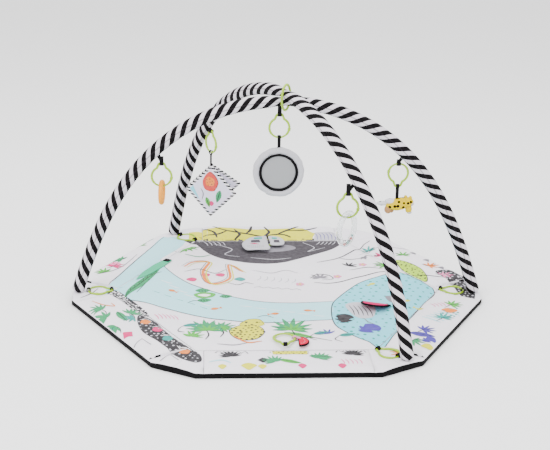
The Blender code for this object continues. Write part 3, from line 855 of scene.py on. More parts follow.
def mat_prints():
    """Draw the jungle and water scene printed on the mat."""
    p = Prints()
    # Dark hollow along the back of the middle.
    lens = [(-0.235, 0.37), (-0.214, 0.33), (-0.175, 0.246), (-0.121, 0.197), (-0.037, 0.17), (0.03, 0.18)]
    lens += [(0.103, 0.228), (0.163, 0.272), (0.207, 0.335), (0.215, 0.37), (0, 0.375)]
    p.blob("charcoal", lens)
    p.blob(
        "grey",
        [(-0.075, 0.30), (-0.02, 0.325), (0.05, 0.31), (0.065, 0.28), (0.0, 0.255), (-0.06, 0.265)],
        1,
    )
    p.stroke("pale", [(-0.16, 0.32), (-0.11, 0.28), (-0.13, 0.24), (-0.09, 0.22)], 0.003)
    p.stroke("pale", [(0.09, 0.33), (0.12, 0.29), (0.1, 0.26), (0.15, 0.29)], 0.003)
    p.stroke("pale", [(-0.06, 0.215), (0.0, 0.2), (0.05, 0.21)], 0.0035)
    p.hatch("pale", (-0.19, 0.34), (0.012, 0.001), (0.014, -0.035), 5, 0.0025, 2)
    p.hatch("pale", (0.14, 0.345), (0.011, 0.0), (-0.012, -0.03), 5, 0.0025, 2)
    # River across the middle.
    inner = [(-0.305, 0.214), (-0.29, 0.14), (-0.247, 0.058), (-0.206, 0.009), (-0.12, -0.059)]
    inner += [(-0.035, -0.096), (0.048, -0.102), (0.135, -0.093)]
    outer = [(0.125, -0.205), (0.039, -0.217), (-0.041, -0.224), (-0.123, -0.21), (-0.192, -0.188)]
    outer += [(-0.262, -0.148), (-0.349, -0.084), (-0.397, -0.047), (-0.44, 0.02)]
    river = line_through(inner) + line_through(outer)
    p.poly("aqua", river)
    p.stroke("black", inner, 0.003)
    p.stroke("black", outer[:-1], 0.003)
    p.hatch("white", (-0.3, 0.05), (0.02, -0.03), (0.03, -0.02), 6, 0.0035)
    p.hatch("white", (-0.1, -0.12), (0.035, -0.012), (0.03, -0.004), 6, 0.003)
    p.hatch("teal", (-0.32, -0.02), (0.03, -0.026), (0.018, -0.012), 5, 0.0022)
    # Round pond on the right.
    pond = [(0.161, -0.052), (0.213, 0.025), (0.272, 0.074), (0.33, 0.105), (0.369, 0.084), (0.406, -0.016)]
    pond += [(0.367, -0.091), (0.325, -0.172), (0.264, -0.282), (0.23, -0.355), (0.198, -0.338)]
    pond += [(0.156, -0.289), (0.125, -0.23), (0.13, -0.12)]
    p.blob("pond", pond)
    p.stroke("black", pond, 0.0028, 1, closed=True)
    p.dots("teal", pond, 0.024, 0.0036, 1, 3)
    p.cut_leaf("black", 0.147, -0.214, 0.045, 70)
    p.cut_leaf("purple", 0.192, -0.268, 0.05, 30)
    p.blob(
        "pale",
        [(0.165, -0.115), (0.2, -0.1), (0.235, -0.125), (0.225, -0.19), (0.19, -0.2), (0.17, -0.16)],
        2,
    )
    p.hatch("black", (0.172, -0.12), (0.011, -0.002), (0.008, -0.06), 5, 0.0028, 3)
    p.stroke("grey", [(0.2, -0.2), (0.209, -0.223), (0.222, -0.235)], 0.004)
    p.blob("grey", [(0.272, -0.06), (0.3, -0.066), (0.305, -0.09), (0.28, -0.1)], 2)
    for x, y, a in ((0.32, -0.091, 20), (0.347, -0.128, -30), (0.246, 0.018, 40)):
        fish(p, "yellow", x, y, 0.013, a)
    for x, y, a in ((-0.268, -0.02, 140), (-0.16, -0.136, 200), (-0.019, -0.17, 10), (0.07, -0.15, 170)):
        fish(p, "orange", x, y, 0.014, a)
    # Winding orange and green brushwork at the left.
    loop = [(-0.241, 0.15), (-0.218, 0.181), (-0.175, 0.181), (-0.191, 0.108), (-0.173, 0.028)]
    loop += [(-0.122, 0.06), (-0.122, 0.16), (-0.085, 0.107)]
    p.stroke("orange", loop, 0.0085, 1)
    p.stroke("yellow", [(q[0] + 0.008, q[1] - 0.006) for q in loop], 0.004, 2)
    p.stroke("black", [(q[0] - 0.007, q[1] + 0.004) for q in loop], 0.0018, 2)
    for x, y, r in ((-0.221, 0.058, 0.014), (-0.184, 0.088, 0.012), (-0.146, 0.087, 0.013)):
        p.blob("magenta", [(x - r, y), (x, y + r), (x + r, y + r * 0.3), (x + r * 0.4, y - r)], 1)
    p.blob("teal", [(-0.11, 0.057), (-0.095, 0.072), (-0.08, 0.058), (-0.093, 0.045)], 1)
    for x, y, r in ((-0.192, -0.02, 0.019), (-0.134, -0.059, 0.016), (-0.188, -0.086, 0.018)):
        p.blob("green", [(x - r, y), (x - r * 0.2, y + r * 0.8), (x + r, y + r * 0.2), (x, y - r * 0.7)], 2)
        p.hatch("black", (x - r * 0.6, y + r * 0.2), (r * 0.4, 0), (r * 0.15, -r * 0.6), 3, 0.0018, 3)
    p.leaf("green", (-0.39, -0.047), (-0.305, 0.129), 0.026, 2)
    p.zigzag("black", (-0.385, -0.042), (-0.315, 0.115), 0.008, 14, 0.0018, 4)
    p.stroke("green", [(-0.24, 0.24), (-0.2, 0.22), (-0.17, 0.235)], 0.005)
    p.stroke("black", [(-0.27, 0.28), (-0.235, 0.27), (-0.2, 0.3)], 0.0025)
    p.fan("leaf", -0.24, 0.3, 0.045, -60, 5, 100)
    # Branches and flowers at the right of the middle.
    p.stroke("black", [(0.118, 0.179), (0.18, 0.211), (0.235, 0.278), (0.283, 0.345)], 0.004)
    p.stroke("black", [(0.098, 0.031), (0.15, 0.03), (0.227, 0.075), (0.292, 0.11), (0.367, 0.094)], 0.004)
    p.stroke("black", [(0.18, 0.211), (0.21, 0.2), (0.26, 0.215)], 0.0028)
    p.fan("grey", 0.116, 0.065, 0.034, 100, 7, 200)
    p.fan("black", 0.2, 0.15, 0.03, 60, 5, 140)
    for x, y in ((0.163, 0.075), (0.06, 0.02), (0.24, 0.16)):
        for k in range(5):
            a = 2 * math.pi * k / 5
            p.dot("pink", x + 0.007 * math.cos(a), y + 0.007 * math.sin(a), 0.0048, 2)
        p.dot("yellow", x, y, 0.004, 3)
    p.fan("leaf", 0.305, 0.16, 0.04, 200, 5, 120)
    p.stroke("grey", [(-0.06, 0.12), (-0.01, 0.1), (0.03, 0.12), (0.06, 0.1)], 0.0025)
    p.hatch("pale", (-0.05, 0.05), (0.018, -0.004), (0.01, 0.03), 6, 0.0028)
    p.zigzag("grey", (-0.06, 0.0), (0.06, -0.02), 0.009, 10, 0.0018)
    # Plants and creatures along the front of the middle.
    p.fan("green", -0.175, -0.255, 0.042, 100, 7, 170)
    p.fan("leaf", -0.22, -0.3, 0.036, 60, 6, 150)
    body = [
        (-0.13, -0.27),
        (-0.1, -0.238),
        (-0.06, -0.245),
        (-0.047, -0.28),
        (-0.07, -0.318),
        (-0.11, -0.318),
    ]
    p.blob("yellow", body, 1)
    p.dots("black", body, 0.0125, 0.0031, 3, 5)
    p.stroke("black", body, 0.0022, 2, closed=True)
    p.leaf("green", (-0.02, -0.25), (0.062, -0.262), 0.024)
    p.leaf("leaf", (0.0, -0.28), (0.07, -0.31), 0.02)
    p.stroke("black", [(0.02, -0.33), (0.06, -0.31), (0.11, -0.33)], 0.003)
    p.hatch("pink", (-0.311, -0.16), (0.0095, -0.003), (0.012, -0.028), 6, 0.003)
    p.stroke("grey", [(-0.16, -0.34), (-0.12, -0.345), (-0.08, -0.335)], 0.003)
    p.fan("purple", 0.105, -0.29, 0.03, 110, 5, 130)
    # Large palms and a spotted cat along the front.
    for x, y, size, angle in (
        (-0.185, -0.262, 0.062, 95),
        (0.018, -0.262, 0.066, 80),
        (-0.15, -0.25, 0.04, 20),
    ):
        p.fan("green", x, y, size, angle, 9, 210, 2)
        p.fan("leaf", x + 0.004, y - 0.006, size * 0.6, angle, 6, 160, 3)
        p.stroke("black", [(x, y), (x + 0.006, y - 0.03), (x - 0.002, y - 0.055)], 0.0035)
    p.blob(
        "yellow",
        [(-0.105, -0.235), (-0.085, -0.205), (-0.055, -0.205), (-0.045, -0.235), (-0.075, -0.25)],
        2,
    )
    for x, y in ((-0.088, -0.222), (-0.062, -0.222), (-0.075, -0.236)):
        p.dot("black", x, y, 0.0034, 4)
    p.stroke("black", [(-0.105, -0.235), (-0.085, -0.205), (-0.055, -0.205), (-0.045, -0.235)], 0.002, 3)
    p.stroke("orange", [(-0.12, -0.3), (-0.09, -0.335), (-0.055, -0.33)], 0.006, 3)
    for x, y in ((0.13, -0.3), (-0.24, -0.24), (0.07, -0.29)):
        p.leaf("teal", (x, y), (x + 0.04, y + 0.012), 0.018)
        p.stroke("black", [(x, y), (x - 0.012, y - 0.02), (x + 0.004, y - 0.035)], 0.0025)
    # Sketched lines over the quiet parts of the middle.
    sketch = [[(-0.24, 0.115), (-0.2, 0.13), (-0.16, 0.1), (-0.13, 0.125)]]
    sketch += [[(-0.13, 0.035), (-0.1, 0.02), (-0.08, 0.035), (-0.06, 0.025)]]
    sketch += [[(0.09, 0.06), (0.11, 0.09), (0.14, 0.085), (0.15, 0.06), (0.12, 0.05)]]
    sketch += [[(0.24, 0.2), (0.27, 0.24), (0.31, 0.24)], [(0.2, 0.12), (0.25, 0.14), (0.29, 0.13)]]
    sketch += [
        [(-0.23, -0.1), (-0.21, -0.085), (-0.19, -0.1)], [(-0.06, -0.19), (-0.04, -0.18), (-0.02, -0.195)]
    ]
    sketch += [[(-0.33, 0.05), (-0.32, 0.09), (-0.3, 0.11)], [(-0.36, -0.03), (-0.34, 0.03), (-0.33, 0.06)]]
    for line in sketch:
        p.stroke("black", line, 0.003)
    p.blob("leaf", [(-0.215, -0.045), (-0.19, -0.03), (-0.16, -0.04), (-0.17, -0.065), (-0.2, -0.07)], 2)
    p.blob("white", [(-0.205, -0.05), (-0.19, -0.042), (-0.172, -0.048), (-0.185, -0.06)], 3)
    # Back flap.
    sky = [(-0.23, 0.363), (0.118, 0.363), (0.132, 0.405), (0.1, 0.452), (-0.05, 0.44), (-0.14, 0.46)]
    p.poly("yellow", sky + [(-0.23, 0.43)])
    twig = [[(-0.161, 0.467), (-0.12, 0.43), (-0.067, 0.406), (-0.019, 0.382), (0.03, 0.37)]]
    twig += [[(-0.02, 0.366), (-0.012, 0.39), (0.0, 0.42), (-0.012, 0.46)]]
    twig += [[(-0.012, 0.39), (0.03, 0.4), (0.06, 0.38)]]
    twig += [[(-0.19, 0.45), (-0.16, 0.42), (-0.15, 0.38)], [(-0.1, 0.37), (-0.085, 0.4), (-0.1, 0.44)]]
    twig += [
        [(-0.048, 0.47), (-0.055, 0.43), (-0.067, 0.406)], [(0.018, 0.394), (0.05, 0.43), (0.091, 0.47)]
    ]
    twig += [[(0.05, 0.43), (0.1, 0.435), (0.142, 0.455)], [(-0.2, 0.39), (-0.15, 0.4), (-0.12, 0.43)]]
    for line in twig:
        p.stroke("black", line, 0.0085)
    p.poly("pale", [(0.126, 0.366), (0.196, 0.366), (0.19, 0.42), (0.133, 0.415)], 1)
    p.hatch("purple", (0.13, 0.41), (0.0105, 0.0), (0.006, -0.04), 6, 0.0022, 2)
    # Left back flap.
    strip = [
        (-0.44, 0.0),
        (-0.415, 0.069),
        (-0.347, 0.258),
        (-0.292, 0.395),
        (-0.24, 0.345),
        (-0.307, 0.214),
    ]
    strip += [(-0.357, 0.109), (-0.42, -0.03)]
    p.blob("aqua", strip)
    p.stroke("black", [(-0.435, 0.03), (-0.415, 0.075), (-0.347, 0.258), (-0.3, 0.38)], 0.003)
    for x, y, ink, angle in (
        (-0.45, 0.11, "leaf", 120),
        (-0.41, 0.2, "green", 150),
        (-0.37, 0.31, "leaf", 100),
        (-0.43, 0.15, "magenta", 60),
        (-0.345, 0.35, "teal", 140),
    ):
        p.fan(ink, x, y, 0.034, angle, 7, 190)
        p.stroke("black", [(x - 0.016, y - 0.012), (x, y), (x + 0.012, y + 0.018)], 0.0025, 3)
    p.hatch("leaf", (-0.472, 0.145), (0.0085, 0.009), (0.016, 0.02), 4, 0.004)
    p.fan("leaf", -0.4, 0.27, 0.04, 140, 6, 150)
    p.blob("pink", [(-0.44, 0.167), (-0.426, 0.182), (-0.41, 0.167), (-0.425, 0.155)], 2)
    p.stroke("grey", [(-0.46, 0.1), (-0.43, 0.12), (-0.4, 0.16), (-0.37, 0.24)], 0.003)
    # Left front flap.
    strip = [
        (-0.434, -0.028),
        (-0.395, -0.084),
        (-0.346, -0.165),
        (-0.325, -0.155),
        (-0.375, -0.06),
        (-0.415, 0.0),
    ]
    p.blob("black", strip, 1)
    p.dots("white", strip, 0.0105, 0.0032, 3, 2)
    strip = [
        (-0.35, -0.178),
        (-0.31, -0.196),
        (-0.267, -0.29),
        (-0.2, -0.385),
        (-0.206, -0.43),
        (-0.25, -0.4),
    ]
    strip += [(-0.3, -0.324), (-0.34, -0.262)]
    p.blob("black", strip, 1)
    p.dots("pale", strip, 0.014, 0.0026, 3, 6)
    p.hatch("white", (-0.325, -0.215), (0.018, -0.034), (0.012, -0.006), 5, 0.002, 2)
    p.fan("green", -0.425, -0.19, 0.045, 160, 6, 160)
    p.fan("teal", -0.36, -0.19, 0.032, 200, 6, 160)
    p.leaf("green", (-0.402, -0.155), (-0.375, -0.21), 0.02)
    p.leaf("teal", (-0.405, -0.24), (-0.43, -0.27), 0.018)
    p.poly("magenta", [(-0.382, -0.275), (-0.36, -0.272), (-0.357, -0.297), (-0.378, -0.3)], 2)
    p.stroke("orange", [(-0.468, -0.085), (-0.44, -0.11), (-0.411, -0.12), (-0.42, -0.1)], 0.0045)
    for x, y in ((-0.335, -0.33), (-0.27, -0.4)):
        p.stroke(
            "grey",
            [(x - 0.02, y - 0.02), (x, y + 0.018), (x + 0.022, y - 0.016)],
            0.003,
            2,
            straight=True,
        )
    p.stroke("black", [(-0.5, -0.05), (-0.475, -0.02), (-0.46, 0.01)], 0.003)
    for x, y, ink in (
        (-0.33, -0.215, "orange"),
        (-0.30, -0.26, "magenta"),
        (-0.275, -0.31, "teal"),
        (-0.235, -0.37, "orange"),
    ):
        p.blob(
            ink,
            [
                (x - 0.012, y - 0.008),
                (x - 0.006, y + 0.012),
                (x + 0.012, y + 0.006),
                (x + 0.006, y - 0.014),
            ],
            4,
        )
        p.stroke(
            "white", [(x - 0.014, y + 0.012), (x + 0.004, y + 0.018), (x + 0.016, y + 0.004)], 0.0024, 4
        )
    for x, y, angle in ((-0.445, -0.2, 200), (-0.4, -0.24, 220), (-0.37, -0.165, 60), (-0.44, -0.14, 150)):
        p.fan("green", x, y, 0.036, angle, 7, 150)
        p.stroke("black", [(x, y), (x + 0.01, y - 0.014), (x + 0.014, y - 0.034)], 0.0025)
    # Front flap.
    for x, y, angle in ((-0.13, -0.412, 100), (0.15, -0.408, 80), (0.07, -0.425, 60), (-0.03, -0.44, 120)):
        p.fan("black" if abs(x) > 0.1 else "green", x, y, 0.034, angle, 9, 170)
    for x in (-0.16, -0.07, 0.02, 0.11):
        p.blob(
            "yellow" if x < 0 else "magenta",
            [(x, -0.462), (x + 0.01, -0.452), (x + 0.02, -0.462), (x + 0.01, -0.472)],
            2,
        )
    p.zigzag("black", (-0.165, -0.392), (-0.09, -0.398), 0.014, 10, 0.0028)
    p.zigzag("black", (0.112, -0.395), (0.182, -0.393), 0.014, 10, 0.0028)
    p.blob("yellow", [(-0.108, -0.46), (-0.091, -0.446), (-0.072, -0.458), (-0.09, -0.474)], 2)
    p.poly("black", [(-0.07, -0.431), (-0.058, -0.418), (-0.046, -0.431), (-0.058, -0.444)], 2)
    p.poly("yellow", [(-0.035, -0.38), (0.048, -0.38), (0.046, -0.402), (-0.033, -0.402)], 1)
    p.dots("black", [(-0.035, -0.38), (0.048, -0.38), (0.046, -0.402), (-0.033, -0.402)], 0.01, 0.002, 3, 4)
    p.leaf("green", (0.05, -0.41), (0.104, -0.42), 0.02)
    p.leaf("leaf", (-0.02, -0.43), (0.03, -0.45), 0.018)
    p.hatch("pink", (0.12, -0.43), (0.01, 0.0), (0.006, -0.025), 5, 0.003)
    p.stroke("aqua", [(-0.18, -0.44), (-0.15, -0.43), (-0.13, -0.445)], 0.006)
    # Right front flap.
    p.leaf("purple", (0.3, -0.285), (0.358, -0.31), 0.024)
    p.cut_leaf("purple", 0.33, -0.33, 0.03, 20)
    p.blob("yellow", [(0.315, -0.36), (0.33, -0.347), (0.346, -0.36), (0.33, -0.374)], 2)
    p.hatch("aqua", (0.345, -0.19), (0.011, 0.008), (0.04, -0.035), 6, 0.005)
    p.hatch("pink", (0.379, -0.11), (0.009, 0.002), (0.01, -0.022), 5, 0.003)
    p.stroke("black", [(0.25, -0.4), (0.28, -0.37), (0.29, -0.33)], 0.003)
    p.dots("teal", [(0.39, -0.17), (0.44, -0.14), (0.43, -0.2)], 0.012, 0.003, 2, 8)
    for x, y, ink, angle in (
        (0.335, -0.27, "purple", 20),
        (0.395, -0.2, "teal", 60),
        (0.3, -0.33, "green", 300),
        (0.43, -0.12, "leaf", 30),
        (0.27, -0.385, "orange", 200),
    ):
        p.fan(ink, x, y, 0.034, angle, 7, 190)
        p.stroke("black", [(x - 0.02, y - 0.018), (x, y), (x + 0.022, y + 0.006)], 0.0025, 3)
    p.blob("orange", [(0.4, -0.15), (0.42, -0.14), (0.44, -0.155), (0.42, -0.17)], 2)
    # Right back flap.
    for x, y, ink, angle in (
        (0.3, 0.235, "magenta", 60),
        (0.36, 0.23, "leaf", 80),
        (0.42, 0.15, "orange", 30),
        (0.27, 0.275, "teal", 100),
        (0.445, 0.08, "pink", 20),
    ):
        p.fan(ink, x, y, 0.03, angle, 6, 200)
        p.stroke("black", [(x - 0.018, y + 0.014), (x, y), (x + 0.02, y + 0.012)], 0.0025, 3)
    beast = [(0.335, 0.192), (0.364, 0.18), (0.395, 0.128), (0.4, 0.055), (0.375, 0.07), (0.35, 0.12)]
    p.blob("lime", beast, 1)
    p.dots("black", beast, 0.013, 0.0026, 3, 7)
    p.stroke("black", beast, 0.002, 2, closed=True)
    for x, y in (
        (0.251, 0.211),
        (0.283, 0.157),
        (0.392, 0.245),
        (0.451, 0.135),
        (0.33, 0.26),
        (0.42, 0.19),
    ):
        p.poly("grey", [(x - 0.011, y + 0.004), (x + 0.008, y + 0.011), (x + 0.004, y - 0.012)], 2)
    p.stroke("black", [(0.24, 0.232), (0.3, 0.29), (0.37, 0.28), (0.4, 0.25), (0.45, 0.16)], 0.0018, 2)
    patch = [
        (0.43, 0.11),
        (0.475, 0.115),
        (0.505, 0.073),
        (0.512, 0.0),
        (0.5, -0.064),
        (0.47, -0.04),
        (0.459, 0.033),
    ]
    p.blob("black", patch, 1)
    p.dots("pale", patch, 0.013, 0.0028, 3, 9)
    p.stroke("black", [(0.367, 0.094), (0.41, 0.08), (0.453, 0.063)], 0.004)
    return p


def fish(p, ink, x, y, size, angle):
    """Draw a small fish."""
    a = math.radians(angle)
    c, s = math.cos(a), math.sin(a)

    def at(u, v):
        return (x + size * (u * c - v * s), y + size * (u * s + v * c))

    p.blob(ink, [at(1, 0), at(0.3, 0.5), at(-0.6, 0.1), at(-0.6, -0.1), at(0.3, -0.5)], 2)
    p.poly(ink, [at(-0.5, 0), at(-1.1, 0.45), at(-1.1, -0.45)], 2)
    p.dot("black", *at(0.6, 0.1), size * 0.1, 3, 6)


def shape_faces(work, kind, shapes):
    """Turn printed shapes into faces marked with their ink and layer."""
    for ink, layer, outline in shapes:
        try:
            face = work.faces.new([work.verts.new((q.x, q.y, 0)) for q in outline])
        except ValueError:
            continue
        face[kind] = list(INKS).index(ink) * 8 + layer
    bmesh.ops.triangulate(work, faces=[f for f in work.faces if len(f.verts) > 4])


def inked(name, work, kind, place_uvs=False):
    """Finish marked faces as an object whose ink attribute holds each face's colour."""
    inks = list(INKS)
    colours = []
    for f in work.faces:
        colours += [linear(INKS[inks[f[kind] // 8]])] * len(f.verts)
    work.faces.layers.int.remove(kind)
    mesh = bpy.data.meshes.new(name)
    work.to_mesh(mesh)
    work.free()
    ink = mesh.color_attributes.new("ink", "FLOAT_COLOR", "CORNER")
    ink.data.foreach_set("color", np.array(colours, np.float32).ravel())
    if place_uvs:
        layer = mesh.uv_layers.new(name="UVMap")
        for loop in mesh.loops:
            q = mesh.vertices[loop.vertex_index].co
            layer.data[loop.index].uv = (q.x, q.y)
    mesh.materials.append(LOOKS["ink"])
    o = bpy.data.objects.new(name, mesh)
    bpy.context.scene.collection.objects.link(o)
    return o


def cut_by_grid(work, axis, cell):
    """Cut every face along evenly spaced lines across X or Y."""
    low = min(v.co[axis] for v in work.verts)
    high = max(v.co[axis] for v in work.verts)
    normal = Vector((1, 0, 0)) if axis == 0 else Vector((0, 1, 0))
    for k in range(int(low / cell), int(high / cell) + 1):
        part = set()
        for f in work.faces:
            span = [v.co[axis] for v in f.verts]
            if min(span) < k * cell < max(span):
                part.add(f)
                part.update(f.edges)
                part.update(f.verts)
        if part:
            at = normal * (k * cell)
            bmesh.ops.bisect_plane(work, geom=list(part), plane_co=at, plane_no=normal)


def decal(name, prints, planes, lift, cell=0.007):
    """Lay the printed shapes that fall between some planes over the mat as one thin mesh."""
    work = bmesh.new()
    kind = work.faces.layers.int.new("kind")
    near = []
    for ink, layer, outline in prints.shapes:
        corners = [Vector((q.x, q.y, 0)) for q in outline]
        if not any(min((q - at).dot(n) for q in corners) > 0 for at, n in planes):
            near.append((ink, layer, outline))
    shape_faces(work, kind, near)
    for at, n in planes:
        everything = list(work.verts) + list(work.edges) + list(work.faces)
        bmesh.ops.bisect_plane(work, geom=everything, plane_co=at, plane_no=n, clear_outer=True)
    if not work.verts:
        work.free()
        return None
    for axis in (0, 1):
        cut_by_grid(work, axis, cell)
    work.normal_update()
    for f in work.faces:
        if f.normal.z < 0:
            f.normal_flip()
        rise = lift + LAYER_STEP * (f[kind] % 8)
        for v in f.verts:
            v.co.z = mat_height(v.co.x, v.co.y) + rise
    o = inked(name, work, kind, True)
    o.data.polygons.foreach_set("use_smooth", [True] * len(o.data.polygons))
    return o


def lay_print(name, prints, planes, lift):
    """Lay one region's share of the printing."""
    art = decal(name, prints, planes, lift)
    return art


def build_centre(prints, lift):
    """Make the padded middle, its printing and the backing under it."""
    centre = centre_panel("mat_centre")
    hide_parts("centre_cover", "centre_wadding")
    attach(centre, "mat")
    hexagon = [(turned(a) * (APOTHEM - 0.0007), turned(a)) for a in SIDES.values()]
    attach(lay_print("mat_centre_print", prints, hexagon, lift), "mat")
    rows = [turned(60 * k) * (SIDE - 0.003) for k in range(6)]
    points = [r + UP * 0.0004 for r in rows] + [r + UP * 0.0022 for r in rows]
    faces = [(5, 4, 3, 2, 1, 0), (6, 7, 8, 9, 10, 11)]
    faces += [(k, (k + 1) % 6, 6 + (k + 1) % 6, 6 + k) for k in range(6)]
    under = mesh_object("mat_backing", points, faces, "black", [(q.x, q.y) for q in points], False)
    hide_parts("base_cloth")
    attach(under, "mat")


def build_side(name, angle, prints, lift):
    """Make one fold-up side and its printing."""
    n = turned(angle)
    along = UP.cross(n)
    half = SIDE / 2 - SIDE_INSET

    def place(u, v):
        q = n * (APOTHEM + 0.0008 + (WING - 0.0008) * v) + along * (half * (1 - 2 * u))
        return q.x, q.y

    wing = panel(name + "_pad", place, 84, 26)
    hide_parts(name)
    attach(wing, name)
    planes = [
        (n * (APOTHEM + 0.0015), -n),
        (n * (APOTHEM + WING - 0.0015), n),
        (along * (half - 0.0005), along),
        (-along * (half - 0.0005), -along),
    ]
    art = lay_print(name + "_print", prints, planes, lift)
    if art:
        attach(art, name)


def build_web(name, angle, side, side_angle, prints, lift):
    """Make the half of a corner's gusset that is next to one side, and its printing."""
    corner = turned(angle) * SIDE
    bisector = turned(angle)
    gap = (side_angle - angle + 180) % 360 - 180
    n = turned(side_angle)
    along = UP.cross(n) * (1 if gap < 0 else -1)
    along = along if along.dot(corner) < 0 else -along
    far = corner + n * WING
    tip = corner + bisector * (WING * math.cos(math.radians(30)))

    def place(u, v):
        # u runs from the side's end to the bisector, v from the corner outward.
        if u < 0.4:
            p = corner + along * (SIDE_INSET - 0.0006) * (1 - u / 0.4) + n * (WING * v)
        else:
            p = corner.lerp(far.lerp(tip, (u - 0.4) / 0.6), v)
        return p.x, p.y

    half_web = panel(name + "_web_" + side, place, 20, 24)
    work = bmesh.new()
    work.from_mesh(half_web.data)
    bmesh.ops.remove_doubles(work, verts=work.verts, dist=0.00003)
    bmesh.ops.recalc_face_normals(work, faces=work.faces)
    work.to_mesh(half_web.data)
    work.free()
    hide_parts("gusset_" + name)
    start = corner - along * 0.025
    end = corner + along * 0.0185
    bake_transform(half_web)
    across = UP.cross(bisector)
    across = across if across.dot(n) > 0 else -across
    planes = [
        (corner + n * 0.004, -n),
        (corner + n * (WING - 0.002), n),
        (corner + along * (SIDE_INSET - 0.001), along),
        (corner + across * 0.0002, -across),
        (tip - bisector * 0.0015, bisector),
    ]
    art = lay_print(name + "_print_" + side, prints, planes, lift)
    if art:
        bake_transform(art)


def build_mat(lift):
    """Make the centre, the six sides, the gussets, the backing and the printed scene."""
    prints = mat_prints()
    build_centre(prints, lift)
    for name, angle in SIDES.items():
        build_side(name, angle, prints, lift)
    for name, angle in CORNERS.items():
        for side, side_angle in SIDES.items():
            gap = (side_angle - angle + 180) % 360 - 180
            if abs(abs(gap) - 30) < 1:
                build_web(name, angle, side, side_angle, prints, lift)


# --------------------------------------------------------------------- arches


def placed(origin, x, y):
    """Return a matrix with the given X and Y axes."""
    x = x.normalized()
    z = x.cross(y).normalized()
    y = z.cross(x)
    m = Matrix((x, y, z)).transposed().to_4x4()
    m.translation = origin
    return m


def bent_rod():
    """Return fraction, reach and height of half an arch, each from 0 to 1."""
    fraction = np.linspace(0, 1, 201)
    slope = math.radians(ARCH_SLOPE) * np.cos(fraction * math.pi / 2)
    reach, height = np.zeros(201), np.zeros(201)
    for made, rate in ((reach, np.cos(slope)), (height, np.sin(slope))):
        made[1:] = np.cumsum((rate[1:] + rate[:-1]) / 2)
    return fraction, reach / reach[-1], height / height[-1]


ROD = bent_rod()


def foot(arch, end):
    """Return where an arch stands."""
    return turned(FOOT_ANGLES[arch][end]) * FOOT_RADIUS[arch][end] + UP * FOOT_HEIGHT


def arch_point(arch, fraction):
    """Return the point this far along an arch, from 0 at its first foot to 1 at its second."""
    half = 2 * min(fraction, 1 - fraction)
    reach = float(np.interp(half, ROD[0], ROD[1])) / 2
    height = float(np.interp(half, ROD[0], ROD[2]))
    first, second = foot(arch, 0), foot(arch, 1)
    point = first.lerp(second, reach if fraction <= 0.5 else 1 - reach)
    point.z = FOOT_HEIGHT + (CROWN[arch] - FOOT_HEIGHT) * height
    past = max(0.0, 2 * fraction - 1)
    lean = BOW[arch] * math.sin(math.pi * past / 0.72) * (1 - past * past)
    return point + (second - first).cross(UP).normalized() * lean


def crossing():
    """Return where the two arches cross, seen from above."""
    (a, b), (c, d) = ([foot(arch, end).xy for end in (0, 1)] for arch in ("lower", "upper"))
    along, across = b - a, d - c
    return a + along * ((c - a).cross(across) / along.cross(across))


CROSS = crossing()


def squeeze(point):
    """Return the sleeve's thickness here as a share of its full one."""
    away = (point.xy - CROSS).length / CROSSING_REACH
    return 1 - (1 - CROSSING_RADIUS / SLEEVE_RADIUS) * math.exp(-away * away)


def build_arches():
    """Make the two striped sleeves with closed ends, and the rods hidden in them."""
    for arch in ("lower", "upper"):
        count = 260
        path = [arch_point(arch, i / count) for i in range(count + 1)]

        def radius(fraction, p, arch=arch):
            end = min(fraction, 1 - fraction) * ARCH_LENGTH
            close = 0.35 + 0.65 * math.sqrt(smooth((end + 0.0005) / 0.008))
            pucker = 1 + 0.012 * noise.noise(p * 45) + 0.008 * noise.noise(p * 120)
            return SLEEVE_RADIUS * squeeze(p) * close * pucker

        sleeve = sweep("striped_sleeve_" + arch, path, radius, "sleeve_" + arch, 28)
        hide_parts("sleeve_" + arch)
        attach(sleeve, "mat")
        rod = sweep("arch_rod_" + arch, path[3:-3:3], 0.0025, "white", 8)
        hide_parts("rod_" + arch)
        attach(rod, "mat")
        line = []
        for i in range(2, count - 1):
            along = (path[i + 1] - path[i - 1]).normalized()
            front = UP.cross(along).normalized()
            front = -front if front.y > 0 else front
            under = along.cross(front).normalized()
            under = -under if under.z > 0 else under
            out = (under * math.cos(0.45) + front * math.sin(0.45)).normalized()
            line.append(path[i] + out * (SLEEVE_RADIUS * squeeze(path[i]) + 0.0001))
        seam = stitches("sleeve_seam_" + arch, line, 0.0048, 0.0042, 0.0011)
        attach(seam, "mat")


